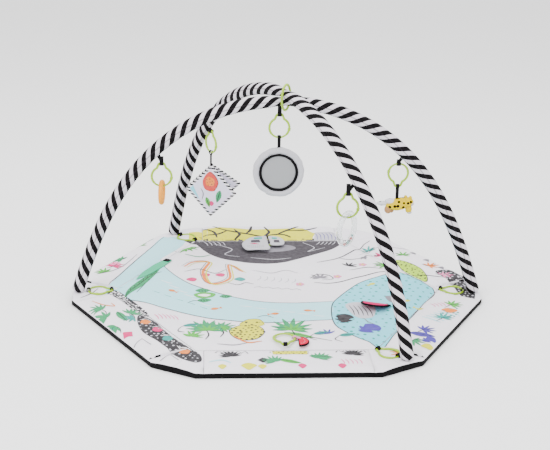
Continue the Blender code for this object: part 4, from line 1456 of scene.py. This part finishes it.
def stitches(name, path, pitch, length, thick, look="black"):
    """Lay a row of short stitches along a path with a Geometry Nodes tree."""
    mesh = bpy.data.meshes.new(name)
    mesh.from_pydata([tuple(p) for p in path], [(i, i + 1) for i in range(len(path) - 1)], [])
    o = bpy.data.objects.new(name, mesh)
    bpy.context.scene.collection.objects.link(o)
    tree = bpy.data.node_groups.new(name, "GeometryNodeTree")
    tree.interface.new_socket("Geometry", in_out="INPUT", socket_type="NodeSocketGeometry")
    for label, value in (("Pitch", pitch), ("Length", length), ("Thickness", thick)):
        made = tree.interface.new_socket(label, in_out="INPUT", socket_type="NodeSocketFloat")
        made.default_value = value
    tree.interface.new_socket("Geometry", in_out="OUTPUT", socket_type="NodeSocketGeometry")
    start = tree.nodes.new("NodeGroupInput")
    finish = tree.nodes.new("NodeGroupOutput")
    curve = tree.nodes.new("GeometryNodeMeshToCurve")
    points = tree.nodes.new("GeometryNodeCurveToPoints")
    points.mode = "LENGTH"
    bar = tree.nodes.new("GeometryNodeMeshCube")
    size = tree.nodes.new("ShaderNodeCombineXYZ")
    place = tree.nodes.new("GeometryNodeInstanceOnPoints")
    real = tree.nodes.new("GeometryNodeRealizeInstances")
    paint = tree.nodes.new("GeometryNodeSetMaterial")
    paint.inputs["Material"].default_value = LOOKS[look]
    link = tree.links.new
    link(start.outputs["Geometry"], curve.inputs["Mesh"])
    link(curve.outputs["Curve"], points.inputs["Curve"])
    link(start.outputs["Pitch"], points.inputs["Length"])
    link(start.outputs["Thickness"], size.inputs["X"])
    link(start.outputs["Thickness"], size.inputs["Y"])
    link(start.outputs["Length"], size.inputs["Z"])
    link(size.outputs["Vector"], bar.inputs["Size"])
    link(points.outputs["Points"], place.inputs["Points"])
    link(points.outputs["Rotation"], place.inputs["Rotation"])
    link(bar.outputs["Mesh"], place.inputs["Instance"])
    link(place.outputs["Instances"], real.inputs["Geometry"])
    link(real.outputs["Geometry"], paint.inputs["Geometry"])
    link(paint.outputs["Geometry"], finish.inputs["Geometry"])
    modifier = o.modifiers.new("stitches", "NODES")
    modifier.node_group = tree
    values = {"Pitch": pitch, "Length": length * 0.72, "Thickness": thick}
    for item in tree.interface.items_tree:
        if item.in_out == "INPUT" and item.name in values:
            modifier[item.identifier] = values[item.name]
    bpy.context.view_layer.update()
    graph = bpy.context.evaluated_depsgraph_get()
    made = bpy.data.meshes.new_from_object(o.evaluated_get(graph))
    o.modifiers.remove(modifier)
    o.data = made
    bpy.data.meshes.remove(mesh)
    return outward(o)


# ---------------------------------------------------------------------- links


def link_ring(name, matrix, node, body):
    """Make a scalloped plastic ring with a narrow neck and a clasp."""
    start = math.radians(28)
    points = []
    count = 120
    for i in range(count + 1):
        a = start + (2 * math.pi - 2 * start) * i / count
        points.append(Vector((LINK_RADIUS * math.sin(a), LINK_RADIUS * math.cos(a), 0)))
    for x, y in ((-0.0104, 0.0240), (-0.0088, 0.0285), (-0.0072, 0.0325), (-0.004, 0.0345), (0, 0.0349)):
        points.append(Vector((x, y, 0)))
    for x, y in ((0.004, 0.0345), (0.0072, 0.0325), (0.0088, 0.0285), (0.0104, 0.0240)):
        points.append(Vector((x, y, 0)))

    def radius(fraction, p):
        if p.y < -0.017:
            return LINK_WIRE - 0.0002
        wave = 0.5 + 0.5 * math.cos(fraction * 2 * math.pi * 30)
        clasp = 0.0009 if abs(fraction - 0.22) < 0.02 else 0
        return LINK_WIRE + 0.00015 + 0.00045 * wave + clasp

    ring = sweep(name, points, radius, "lime", 12, True, Vector((0, 0, 1)))
    ring.data.transform(matrix)
    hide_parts(node)
    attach(ring, body)
    return ring


def build_links():
    """Make every plastic link and the ring round the crown."""
    yaws = {"mirror": 0, "teether": 0, "book": FOOT_ANGLES["upper"][1], "rattle": 0}
    for toy, yaw in yaws.items():
        wire = joint_at(toy + "_swing")
        spot = placed(wire - UP * LINK_NECK, turned(yaw), UP)
        link_ring(toy + "_clip", spot, toy + "_link", toy + "_link")
    wire = joint_at("plush_swing")
    link_ring("plush_clip", placed(wire - UP * LINK_RADIUS, -turned(0), -UP), "plush_link", "plush_link")
    stands = {
        "left": ("lower", 0),
        "right": ("lower", 1),
        "back_left": ("upper", 0),
        "front_right": ("upper", 1),
    }
    for name, (arch, end) in stands.items():
        corner = turned(CORNERS[name]) * SIDE
        out = foot(arch, end) - corner
        out = Vector((out.x, out.y, 0)).normalized()
        held = joint_at("lift_" + name)
        spot = placed(held + out * LINK_NECK, UP.cross(out), -out)
        link_ring("corner_clip_" + name, spot, "corner_link_" + name, "corner_link_" + name)
    for name, inward in (("front", Vector((0, 1, 0))), ("back", Vector((0, -1, 0)))):
        wire = joint_at(name + "_lift")
        spot = placed(wire + inward * LINK_NECK, UP.cross(inward), -inward)
        link_ring(name + "_clip", spot, name + "_link", name + "_link")
    lower, upper = (foot(arch, 1).xy - foot(arch, 0).xy for arch in ("lower", "upper"))
    middle = (lower.normalized() + upper.normalized()).to_3d()
    centre = CROSS.to_3d() + UP * ((CROWN["lower"] + CROWN["upper"]) / 2)
    points = []
    for i in range(96):
        a = 2 * math.pi * i / 96
        points.append(Vector((0.024 * math.cos(a), 0.0315 * math.sin(a), 0)))
    ring = sweep(
        "crown_clip", points, lambda f, p: 0.0029 + 0.0003 * math.cos(f * 180), "lime", 12, True, UP
    )
    ring.data.transform(placed(centre, UP.cross(middle), UP))
    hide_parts("crown_ring")
    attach(ring, "mat")


def hanger(name, wire, across, tail, width):
    """Make the webbing loop and tail by which a toy hangs from its link."""
    front = across.cross(UP).normalized()
    loop = []
    for k in range(15):
        a = math.radians(-62 + 304 * k / 14)
        loop.append(wire + front * (0.0051 * math.cos(a)) + UP * (0.0051 * math.sin(a)))
    first = wire - UP * tail + front * 0.0008
    last = wire - UP * tail - front * 0.0008
    neck = wire - UP * 0.008
    path = [first, neck + front * 0.0009] + loop + [neck - front * 0.0009, last]
    return band(name, path, across, width, 0.0012)


# ----------------------------------------------------------------------- toys


def lathe(name, profile, matrix, look, segments=64, wobble=0.0):
    """Turn a closed profile of radius and height round the Z axis of a matrix."""
    points, faces = [], []
    count = len(profile)
    for i in range(segments):
        a = 2 * math.pi * i / segments
        for r, z in profile:
            puff = 1 + wobble * (noise.noise(Vector((math.cos(a) * 5, math.sin(a) * 5, z * 90))))
            points.append(matrix @ Vector((r * math.cos(a) * puff, r * math.sin(a) * puff, z * puff)))
    for i in range(segments):
        j = (i + 1) % segments
        for k in range(count):
            m = (k + 1) % count
            faces.append((i * count + k, j * count + k, j * count + m, i * count + m))
    return outward(mesh_object(name, points, faces, look, [(p.x, p.z) for p in points]))


def finish_toy(o, node, body):
    """Replace a toy's CAD node with the new piece and attach the piece to the toy's body."""
    if node:
        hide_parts(node)
    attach(o, body)
    return o


def build_mirror():
    """Make the round cushion, its black binding ring, the mirror and its strap."""
    wire = joint_at("mirror_toy_swing")
    spot = placed(wire - UP * MIRROR_DROP, Vector((1, 0, 0)), UP)
    ring = []
    for k in range(22):
        a = math.radians(180 - 360 * k / 22)
        ring.append((0.0555 + 0.0083 * math.cos(a), 0.0081 * math.sin(a)))
    puff = lathe("mirror_cushion_ring", ring, spot, "white", 120, 0.035)
    back = lathe(
        "mirror_back",
        [(0.0001, -0.0062), (0.05, -0.0072), (0.05, 0.0002), (0.0001, 0.0002)],
        spot,
        "white",
        64,
    )
    finish_toy(join("mirror_cushion_soft", [puff, back]), "mirror_cushion", "mirror")
    rim = []
    for k in range(12):
        a = 2 * math.pi * k / 12
        rim.append((0.0452 + 0.0034 * math.cos(a), 0.0044 + 0.0034 * math.sin(a)))
    finish_toy(lathe("mirror_binding", rim, spot, "black", 96, 0.01), "mirror_bezel", "mirror")
    pane = [
        (0.0001, 0.0006),
        (0.0422, 0.0006),
        (0.0422, 0.0034),
        (0.0405, 0.0035),
        (0.02, 0.0035),
        (0.0001, 0.0035),
    ]
    face = lathe("mirror_face", pane, spot, "mirror", 96)
    face.data.polygons.foreach_set("use_smooth", [False] * len(face.data.polygons))
    finish_toy(face, "mirror_pane", "mirror")
    tape = hanger("mirror_tape", wire, Vector((1, 0, 0)), 0.030, 0.008)
    finish_toy(tape, None, "mirror")
    path = []
    for k in range(181):
        a = 2 * math.pi * k / 180
        path.append(spot @ Vector((0.0494 * math.cos(a), 0.0494 * math.sin(a), 0.0067)))
    finish_toy(
        stitches("mirror_stitches", path, 0.0034, 0.0028, 0.0007, "white"), None, "mirror"
    )


def circle(radius, count=96):
    """Return even points round a circle about the Z axis."""
    turns = np.linspace(0, 2 * math.pi, count + 1)[:-1]
    return [Vector((radius * math.cos(a), radius * math.sin(a), 0)) for a in turns]


def build_teether():
    """Make the orange ring."""
    wire = joint_at("teether_ring_swing")
    centre = wire + UP * (LINK_WIRE + TOY_CLEARANCE + TEETHER_TUBE - TEETHER_RADIUS)
    path = circle(TEETHER_RADIUS)
    ring = sweep("teether", path, lambda f, p: 0.0058 + 0.0002 * math.cos(f * 150), "orange", 20, True)
    ring.data.transform(placed(centre, turned(84), UP))
    finish_toy(ring, "teether_ring", "teether")


def leaf_mesh(name, matrix, side, thick):
    """Make a square padded book leaf with a striped edge."""
    outline = []
    corners = [(0.002, 0), (side, 0), (side, side), (0.002, side)]
    for i, a in enumerate(corners):
        b = corners[(i + 1) % 4]
        for k in range(20):
            outline.append((a[0] + (b[0] - a[0]) * k / 20, a[1] + (b[1] - a[1]) * k / 20))
    return pad(name, outline, thick, matrix, "lavender", "edge", 7, 0.72)


def page_art(name, matrix, face, which):
    """Lay printed shapes on one face of a book leaf."""
    p = Prints()
    if which == "front":
        p.blob(
            "red",
            [(0.012, 0.018), (0.03, 0.012), (0.052, 0.02), (0.06, 0.045), (0.04, 0.062), (0.018, 0.05)],
            0,
        )
        p.blob("orange", [(0.02, 0.03), (0.036, 0.022), (0.048, 0.034), (0.036, 0.05), (0.024, 0.044)], 1)
        p.stroke("black", [(0.012, 0.018), (0.03, 0.012), (0.052, 0.02), (0.06, 0.045)], 0.0016)
        p.stroke("black", [(0.03, 0.07), (0.045, 0.075), (0.055, 0.09)], 0.0022)
        p.leaf("green", (0.07, 0.03), (0.088, 0.062), 0.016, 1)
        p.leaf("leaf", (0.058, 0.075), (0.084, 0.088), 0.013, 1)
        p.blob("magenta", [(0.074, 0.072), (0.084, 0.07), (0.086, 0.08), (0.077, 0.083)], 1)
        p.poly("pond", [(0.01, 0.082), (0.05, 0.096), (0.01, 0.096)], 0)
        p.dots("black", [(0.024, 0.028), (0.046, 0.028), (0.046, 0.048), (0.024, 0.048)], 0.008, 0.0014, 3)
    else:
        p.blob("leaf", [(0.03, 0.03), (0.06, 0.028), (0.075, 0.055), (0.045, 0.07)], 0)
        p.stroke("black", [(0.02, 0.08), (0.05, 0.085), (0.08, 0.07)], 0.003)
        p.dots("teal", [(0.07, 0.02), (0.09, 0.02), (0.09, 0.05)], 0.008, 0.0018, 2)
    work = bmesh.new()
    kind = work.faces.layers.int.new("kind")
    shape_faces(work, kind, p.shapes)
    work.normal_update()
    for f in work.faces:
        if (f.normal.z < 0) == (face > 0):
            f.normal_flip()
        for v in f.verts:
            v.co.z = face * (0.00268 + 0.00008 * (f[kind] % 8))
    o = inked(name, work, kind)
    o.data.transform(matrix)
    return o


def build_book():
    """Make the cloth book: two leaves sewn along one edge, hung by a corner."""
    wire = joint_at("book_toy_swing")
    top = wire - UP * BOOK_DROP
    across = turned(-23)
    spine = (-across - UP).normalized()
    out = (across - UP).normalized()
    front = placed(top, out, spine)
    leaf = leaf_mesh("book_leaf_front", front, BOOK_SIDE, BOOK_LEAF)
    finish_toy(leaf, "book_front", "book")
    away = out.cross(spine).normalized()
    away = -away if away.y < 0 else away
    face = 1 if front.col[2].xyz.y < 0 else -1
    finish_toy(page_art("book_front_print", front, face, "front"), None, "book")
    hinge = top + away * 0.003
    turn = 1 if spine.cross(out).dot(away) > 0 else -1
    opened = Matrix.Rotation(turn * math.radians(30), 3, spine) @ out
    second = placed(hinge, opened, spine)
    depth = 0.003 if second.col[2].xyz.dot(away) > 0 else -0.003
    second = second @ Matrix.Translation((0, 0, depth))
    leaf = leaf_mesh("book_leaf_back", second, BOOK_SIDE, BOOK_LEAF)
    finish_toy(leaf, "book_back", "book_page")
    for side in (1, -1):
        art = page_art("book_back_print_" + ("a" if side > 0 else "b"), second, side, "back")
        finish_toy(art, None, "book_page")
    tape = hanger("book_tape", wire, turned(FOOT_ANGLES["upper"][1]), 0.040, 0.005)
    finish_toy(tape, None, "book")


def build_rattle():
    """Make the clear hollow ring and the beads inside it."""
    wire = joint_at("rattle_ring_swing")
    centre = wire + UP * (LINK_WIRE + TOY_CLEARANCE + RATTLE_TUBE - RATTLE_RADIUS)
    spot = placed(centre, turned(55), UP)
    path = circle(RATTLE_RADIUS)
    shell = sweep("rattle_shell", path, 0.0064, "clear", 20, True)
    inner = sweep("rattle_inside", path, 0.0055, "clear", 20, True)
    inner.data.flip_normals()
    ring = join("rattle_clear_ring", [shell, inner])
    ring.data.transform(spot)
    finish_toy(ring, "rattle_ring", "rattle")
    looks = ["red_bead", "black_bead", "teal_bead", "black_bead", "red_bead", "teal_bead"]
    beads = []
    for k, look in enumerate(looks):
        a = math.radians(-90 + (k - 1.2) * 12.5)
        where = spot @ Vector((RATTLE_RADIUS * math.cos(a), RATTLE_RADIUS * math.sin(a), 0))
        size = 0.0036 if k % 2 == 0 else 0.003
        beads.append(ball("bead", where, (size, size, size), look, None, (14, 9)))
    finish_toy(join("rattle_beads", beads), "rattle_bead", "bead")


def build_plush():
    """Make the stuffed spotted animal with its tail, head, legs and strap."""
    wire = joint_at("plush_toy_swing")
    mid = wire - UP * PLUSH_DROP
    lumps = [
        ("spotted_yellow", (0, 0, 0), (0.028, 0.014, 0.0155)),
        ("spotted_yellow", (0.012, 0.001, 0.004), (0.019, 0.0135, 0.014)),
        ("spotted_yellow", (0.029, -0.001, 0.006), (0.0135, 0.0115, 0.0125)),
        ("spotted_yellow", (0.0225, 0.004, 0.0175), (0.0045, 0.004, 0.0058)),
        ("spotted_yellow", (0.0335, -0.003, 0.0178), (0.0045, 0.004, 0.0055)),
        ("white", (0.037, -0.004, 0.003), (0.0062, 0.0065, 0.0052)),
        ("spotted_grey", (-0.036, 0, 0.003), (0.016, 0.005, 0.0058)),
        ("spotted_grey", (-0.014, 0.0, 0.0085), (0.016, 0.0105, 0.0072)),
        ("tan", (-0.021, 0, -0.013), (0.0095, 0.009, 0.011)),
        ("tan", (-0.012, 0.003, -0.0155), (0.006, 0.006, 0.0075)),
        ("spotted_yellow", (0.031, 0, -0.012), (0.0085, 0.0085, 0.0105)),
        ("white", (0.033, -0.001, -0.0205), (0.0062, 0.006, 0.0042)),
    ]
    parts = []
    for look, shift, radii in lumps:
        parts.append(ball("lump", mid + Vector(shift), radii, look, None, (28, 18), 0.05))
    for x, y, z in ((0.036, -0.0105, 0.0085), (0.0405, -0.006, 0.0085)):
        parts.append(ball("eye", mid + Vector((x, y, z)), (0.0012, 0.0012, 0.0014), "black", None, (10, 7)))
    finish_toy(join("spotted_animal", parts), "plush_body", "plush")
    finish_toy(hanger("plush_tape", wire, Vector((1, 0, 0)), 0.036, 0.008), None, "plush")


def build_mat_toys():
    """Make the fruit slice, the two printed shapes, the wing flap and the cloth leaf."""
    hinge = joint_at("fruit_slice_lift")
    middle = hinge + Vector((0.0075, -0.014, -0.003))
    arc = [(0.0255 * math.cos(a), 0.0255 * math.sin(a)) for a in np.linspace(-math.pi / 2, math.pi / 2, 25)]
    arc += [(0, 0.0255 - 0.051 * k / 14) for k in range(1, 14)]
    slice_pad = pad("slice_pad", arc, 0.005, Matrix.Translation(middle), "red", "black", 6, 0.6)
    seeds = []
    for k in range(6):
        a = math.radians(-66 + 26 * k)
        spot = middle + Vector((0.0155 * math.cos(a), 0.0155 * math.sin(a), 0.0024))
        seeds.append(
            ball("seed", spot, (0.0014, 0.0009, 0.0005), "white", Matrix.Rotation(a, 3, "Z"), (10, 6))
        )
    finish_toy(
        join("fruit_slice_soft", [slice_pad] + seeds), "fruit_slice", "fruit_slice"
    )
    loop = [
        hinge + Vector((0.0046 * math.cos(a), 0, 0.0046 * math.sin(a))) for a in np.linspace(0.5, 5.8, 16)
    ]
    end = hinge + Vector((0.013, 0, -0.0008))
    tab = band("slice_tab", [end + UP * 0.0012] + loop + [end], Vector((0, 1, 0)), 0.008, 0.0011, "pink")
    finish_toy(tab, None, "fruit_slice")
    shapes = {
        "left": [
            (0.0, -0.004),
            (0.003, -0.06),
            (0.005, -0.104),
            (-0.03, -0.108),
            (-0.059, -0.108),
            (-0.069, -0.062),
            (-0.045, -0.015),
            (-0.014, -0.004),
        ],
        "right": [
            (-0.001, -0.004),
            (0.024, -0.007),
            (0.04, -0.034),
            (0.036, -0.069),
            (0.0035, -0.071),
            (0.001, -0.04),
        ],
    }
    for which, points in shapes.items():
        hinge = joint_at("back_toy_lift_" + which)
        outline = [(q.x, q.y) for q in rounded([Vector(q) for q in points], 10)]
        spot = Matrix.Translation(hinge + UP * 0.005)
        base = pad("shape_" + which, outline, 0.0042, spot, "white", "white", 6, 0.55, 0.0006)
        art = Prints()
        s = -1 if which == "left" else 0.62
        art.poly(
            "charcoal",
            [(0.02 * s, -0.036), (0.043 * s, -0.038), (0.045 * s, -0.058), (0.018 * s, -0.056)],
            1,
        )
        art.poly(
            "grey", [(0.012 * s, -0.016), (0.034 * s, -0.018), (0.036 * s, -0.03), (0.012 * s, -0.028)], 1
        )
        art.poly("magenta", [(0.02 * s, -0.072), (0.05 * s, -0.068), (0.034 * s, -0.062)], 1)
        for k in range(9):
            art.dot("black", (0.012 + 0.0052 * k) * s, -0.082 - 0.004 * math.sin(k * 0.4), 0.0011, 2, 8)
            art.dot("black", (0.012 + 0.0052 * k) * s, -0.092 - 0.004 * math.sin(k * 0.4), 0.0011, 2, 8)
        faces = []
        for ink, layer, shape in art.shapes:
            if min(q.y for q in shape) < -0.068 and which == "right":
                continue
            tint = {"charcoal": "charcoal", "grey": "teal", "magenta": "magenta", "black": "black"}[ink]
            pts = [spot @ Vector((q.x, q.y, 0.00235 + 0.0001 * layer)) for q in shape]
            shape_mesh = mesh_object("mark", pts, [tuple(range(len(pts)))], tint, [(q.x, q.y) for q in pts])
            if shape_mesh.data.polygons[0].normal.z < 0:
                shape_mesh.data.flip_normals()
            faces.append(shape_mesh)
        body = "back_toy_" + which
        finish_toy(base, body, body)
        finish_toy(join("shape_marks_" + which, faces), None, body)
        loop = [
            hinge + Vector((0, 0.0048 * math.cos(a), 0.0048 * math.sin(a))) for a in np.linspace(0, 6.28, 20)
        ]
        ring = band("shape_loop_" + which, loop, Vector((1, 0, 0)), 0.003, 0.0012)
        finish_toy(ring, None, body)
    hinge = joint_at("wing_flap_lift")
    spot = Matrix.Translation(hinge) @ Matrix.Rotation(math.radians(-20), 4, "Z")
    spot = spot @ Matrix.Rotation(math.radians(-16), 4, "X")
    turns = np.linspace(0, math.pi, 33)
    arc = [(0.037 * math.cos(a), -0.002 - 0.056 * max(0, math.sin(a)) ** 0.7) for a in turns]
    arc += [(-0.037 + 0.074 * k / 16, -0.002) for k in range(1, 16)]
    wing = pad("wing_pad", arc, 0.005, spot, "magenta", "black", 6, 0.6)
    finish_toy(wing, "wing_flap", "wing_flap")
    hinge = joint_at("leaf_flap_lift")
    seam = turned(150)
    spot = placed(hinge, UP.cross(seam), -seam)
    half = [(0.002, 0.0105), (0.03, 0.0125), (0.06, 0.0138), (0.1, 0.013), (0.135, 0.0075)]
    outline = half + [(0.1645, 0.0)] + [(x, -y) for x, y in reversed(half)]
    points, faces = [], []
    steps = 40
    for i in range(steps + 1):
        x = 0.001 + 0.1635 * i / steps
        w = float(np.interp(x, [q[0] for q in half] + [0.1645], [q[1] for q in half] + [0.0004]))
        for k in range(9):
            y = w * (k / 4 - 1)
            lift = 0.0006 * math.sin(x * 90) * (k / 4 - 1)
            points.append(spot @ Vector((x, y, lift)))
        for k in range(8):
            if i < steps:
                a = i * 9 + k
                faces.append((a, a + 1, a + 10, a + 9))
    leaf = mesh_object("cloth_leaf", points, faces, "green", [(q.x, q.y) for q in points])
    thick = leaf.modifiers.new("thick", "SOLIDIFY")
    thick.thickness = 0.0014
    thick.offset = 0
    bpy.context.view_layer.update()
    made = bpy.data.meshes.new_from_object(leaf.evaluated_get(bpy.context.evaluated_depsgraph_get()))
    leaf.modifiers.clear()
    leaf.data = made
    finish_toy(outward(leaf), "leaf_flap", "leaf_flap")
    ends = [spot @ Vector((x, 0, 0.0016)) for x in (0.0, 0.018)]
    tab = band("leaf_tab", ends, spot.col[1].xyz, 0.018, 0.0009)
    finish_toy(tab, None, "leaf_flap")


def build_webbing():
    """Give the sewn straps and loops their webbing look and carry each strap up into its sleeve."""
    sewn = {
        "mirror": ("lower", 0.4982, 0),
        "teether": ("lower", 0.2889, 0),
        "book": ("upper", 0.268, FOOT_ANGLES["upper"][1]),
        "rattle": ("upper", 0.718, 0),
        "plush": ("lower", 0.715, 0),
    }
    for toy, (arch, fraction, yaw) in sewn.items():
        wire = joint_at(toy + "_swing")
        top = arch_point(arch, fraction) - UP * 0.009
        path = [wire + UP * 0.0055, wire.lerp(top, 0.6), top]
        tape = band(toy + "_sewn_tape", path, turned(yaw), 0.0096, 0.0022)
        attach(tape, "mat")
    for o in bpy.data.objects:
        if o.type == "MESH" and (o.name.endswith("_strap") or "_loop" in o.name) and "shape" not in o.name:
            o.data.materials.clear()
            o.data.materials.append(LOOKS["webbing"])


# ---------------------------------------------------------------------- stage


def build_stage(floor_colour):
    """Make the pale floor, the soft lights and the camera."""
    LOOKS["floor"].node_tree.nodes["Principled BSDF"].inputs["Base Color"].default_value = floor_colour
    floor = mesh_object("floor", [(-6, -6, 0), (6, -6, 0), (6, 6, 0), (-6, 6, 0)], [(0, 1, 2, 3)], "floor")
    world = bpy.data.worlds.new("studio")
    bpy.context.scene.world = world
    world.use_nodes = True
    back = world.node_tree.nodes["Background"]
    back.inputs["Color"].default_value = (1.0, 1.0, 1.0, 1)
    back.inputs["Strength"].default_value = 1.75
    for name, spot, size, power in (
        ("key", (-1.6, -1.9, 2.6), 1.8, 105),
        ("fill", (2.2, -1.4, 1.8), 2.2, 30),
        ("top", (0.1, 0.6, 2.8), 2.0, 60),
    ):
        light = bpy.data.lights.new(name, "AREA")
        light.energy = power
        light.size = size
        o = bpy.data.objects.new(name, light)
        o.location = spot
        o.rotation_euler = (Vector((0, 0, 0.15)) - Vector(spot)).to_track_quat("-Z", "Y").to_euler()
        bpy.context.scene.collection.objects.link(o)
    forward = Vector(CAMERA_FORWARD).normalized()
    right = forward.cross(UP).normalized()
    over = right.cross(forward)
    x = right * math.cos(CAMERA_ROLL) + over * math.sin(CAMERA_ROLL)
    y = over * math.cos(CAMERA_ROLL) - right * math.sin(CAMERA_ROLL)
    camera = bpy.data.cameras.new("view")
    camera.sensor_width = 36
    camera.lens = CAMERA_LENS
    o = bpy.data.objects.new("view", camera)
    matrix = Matrix((x, y, -forward)).transposed().to_4x4()
    matrix.translation = Vector(CAMERA_PLACE)
    o.matrix_world = matrix
    bpy.context.scene.collection.objects.link(o)
    bpy.context.scene.camera = o


# --------------------------------------------------------------------- add-on


class GymSettings(bpy.types.PropertyGroup):
    """Sizes and colours a user may change."""

    print_lift: bpy.props.FloatProperty(
        name="Print lift",
        description="How far the printing stands off the cloth",
        default=PRINT_LIFT,
        unit="LENGTH",
    )
    floor_colour: bpy.props.FloatVectorProperty(
        name="Floor",
        description="Colour of the floor",
        default=(0.94, 0.94, 0.945, 1.0),
        size=4,
        subtype="COLOR",
    )


class GYM_OT_mat(bpy.types.Operator):
    """Make the mat with its sides, gussets and printing"""

    bl_idname = "gym.mat"
    bl_label = "Mat"

    def execute(self, context):
        build_mat(context.scene.gym_settings.print_lift)
        return {"FINISHED"}


class GYM_OT_arches(bpy.types.Operator):
    """Make the striped arches, the links and the webbing"""

    bl_idname = "gym.arches"
    bl_label = "Arches"

    def execute(self, context):
        build_arches()
        build_links()
        build_webbing()
        return {"FINISHED"}


class GYM_OT_hanging_toys(bpy.types.Operator):
    """Make the mirror, teether, book, rattle and stuffed animal"""

    bl_idname = "gym.hanging_toys"
    bl_label = "Hanging toys"

    def execute(self, context):
        build_mirror()
        build_teether()
        build_book()
        build_rattle()
        build_plush()
        return {"FINISHED"}


class GYM_OT_mat_toys(bpy.types.Operator):
    """Make the toys and flaps lying on the mat"""

    bl_idname = "gym.mat_toys"
    bl_label = "Mat toys"

    def execute(self, context):
        build_mat_toys()
        return {"FINISHED"}


class GYM_OT_stage(bpy.types.Operator):
    """Make the floor, lights and camera"""

    bl_idname = "gym.stage"
    bl_label = "Stage"

    def execute(self, context):
        build_stage(tuple(context.scene.gym_settings.floor_colour))
        return {"FINISHED"}


class GYM_PT_panel(bpy.types.Panel):
    """Play gym tools"""

    bl_label = "Play Gym"
    bl_idname = "GYM_PT_panel"
    bl_space_type = "VIEW_3D"
    bl_region_type = "UI"
    bl_category = "Play Gym"

    def draw(self, context):
        layout = self.layout
        layout.prop(context.scene.gym_settings, "print_lift")
        layout.prop(context.scene.gym_settings, "floor_colour")
        for name in ("mat", "arches", "hanging_toys", "mat_toys", "stage"):
            layout.operator("gym." + name)


CLASSES = (
    GymSettings,
    GYM_OT_mat,
    GYM_OT_arches,
    GYM_OT_hanging_toys,
    GYM_OT_mat_toys,
    GYM_OT_stage,
    GYM_PT_panel,
)


def register():
    """Register the add-on."""
    for one in CLASSES:
        bpy.utils.register_class(one)
    bpy.types.Scene.gym_settings = bpy.props.PointerProperty(type=GymSettings)


def unregister():
    """Unregister the add-on."""
    del bpy.types.Scene.gym_settings
    for one in reversed(CLASSES):
        bpy.utils.unregister_class(one)


def main():
    """Load the parts and build every piece."""
    FRAME.update(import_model())
    LOOKS.update(make_materials())
    register()
    bpy.ops.gym.mat()
    bpy.ops.gym.arches()
    bpy.ops.gym.hanging_toys()
    bpy.ops.gym.mat_toys()
    bpy.ops.gym.stage()


if __name__ == "__main__":
    main()
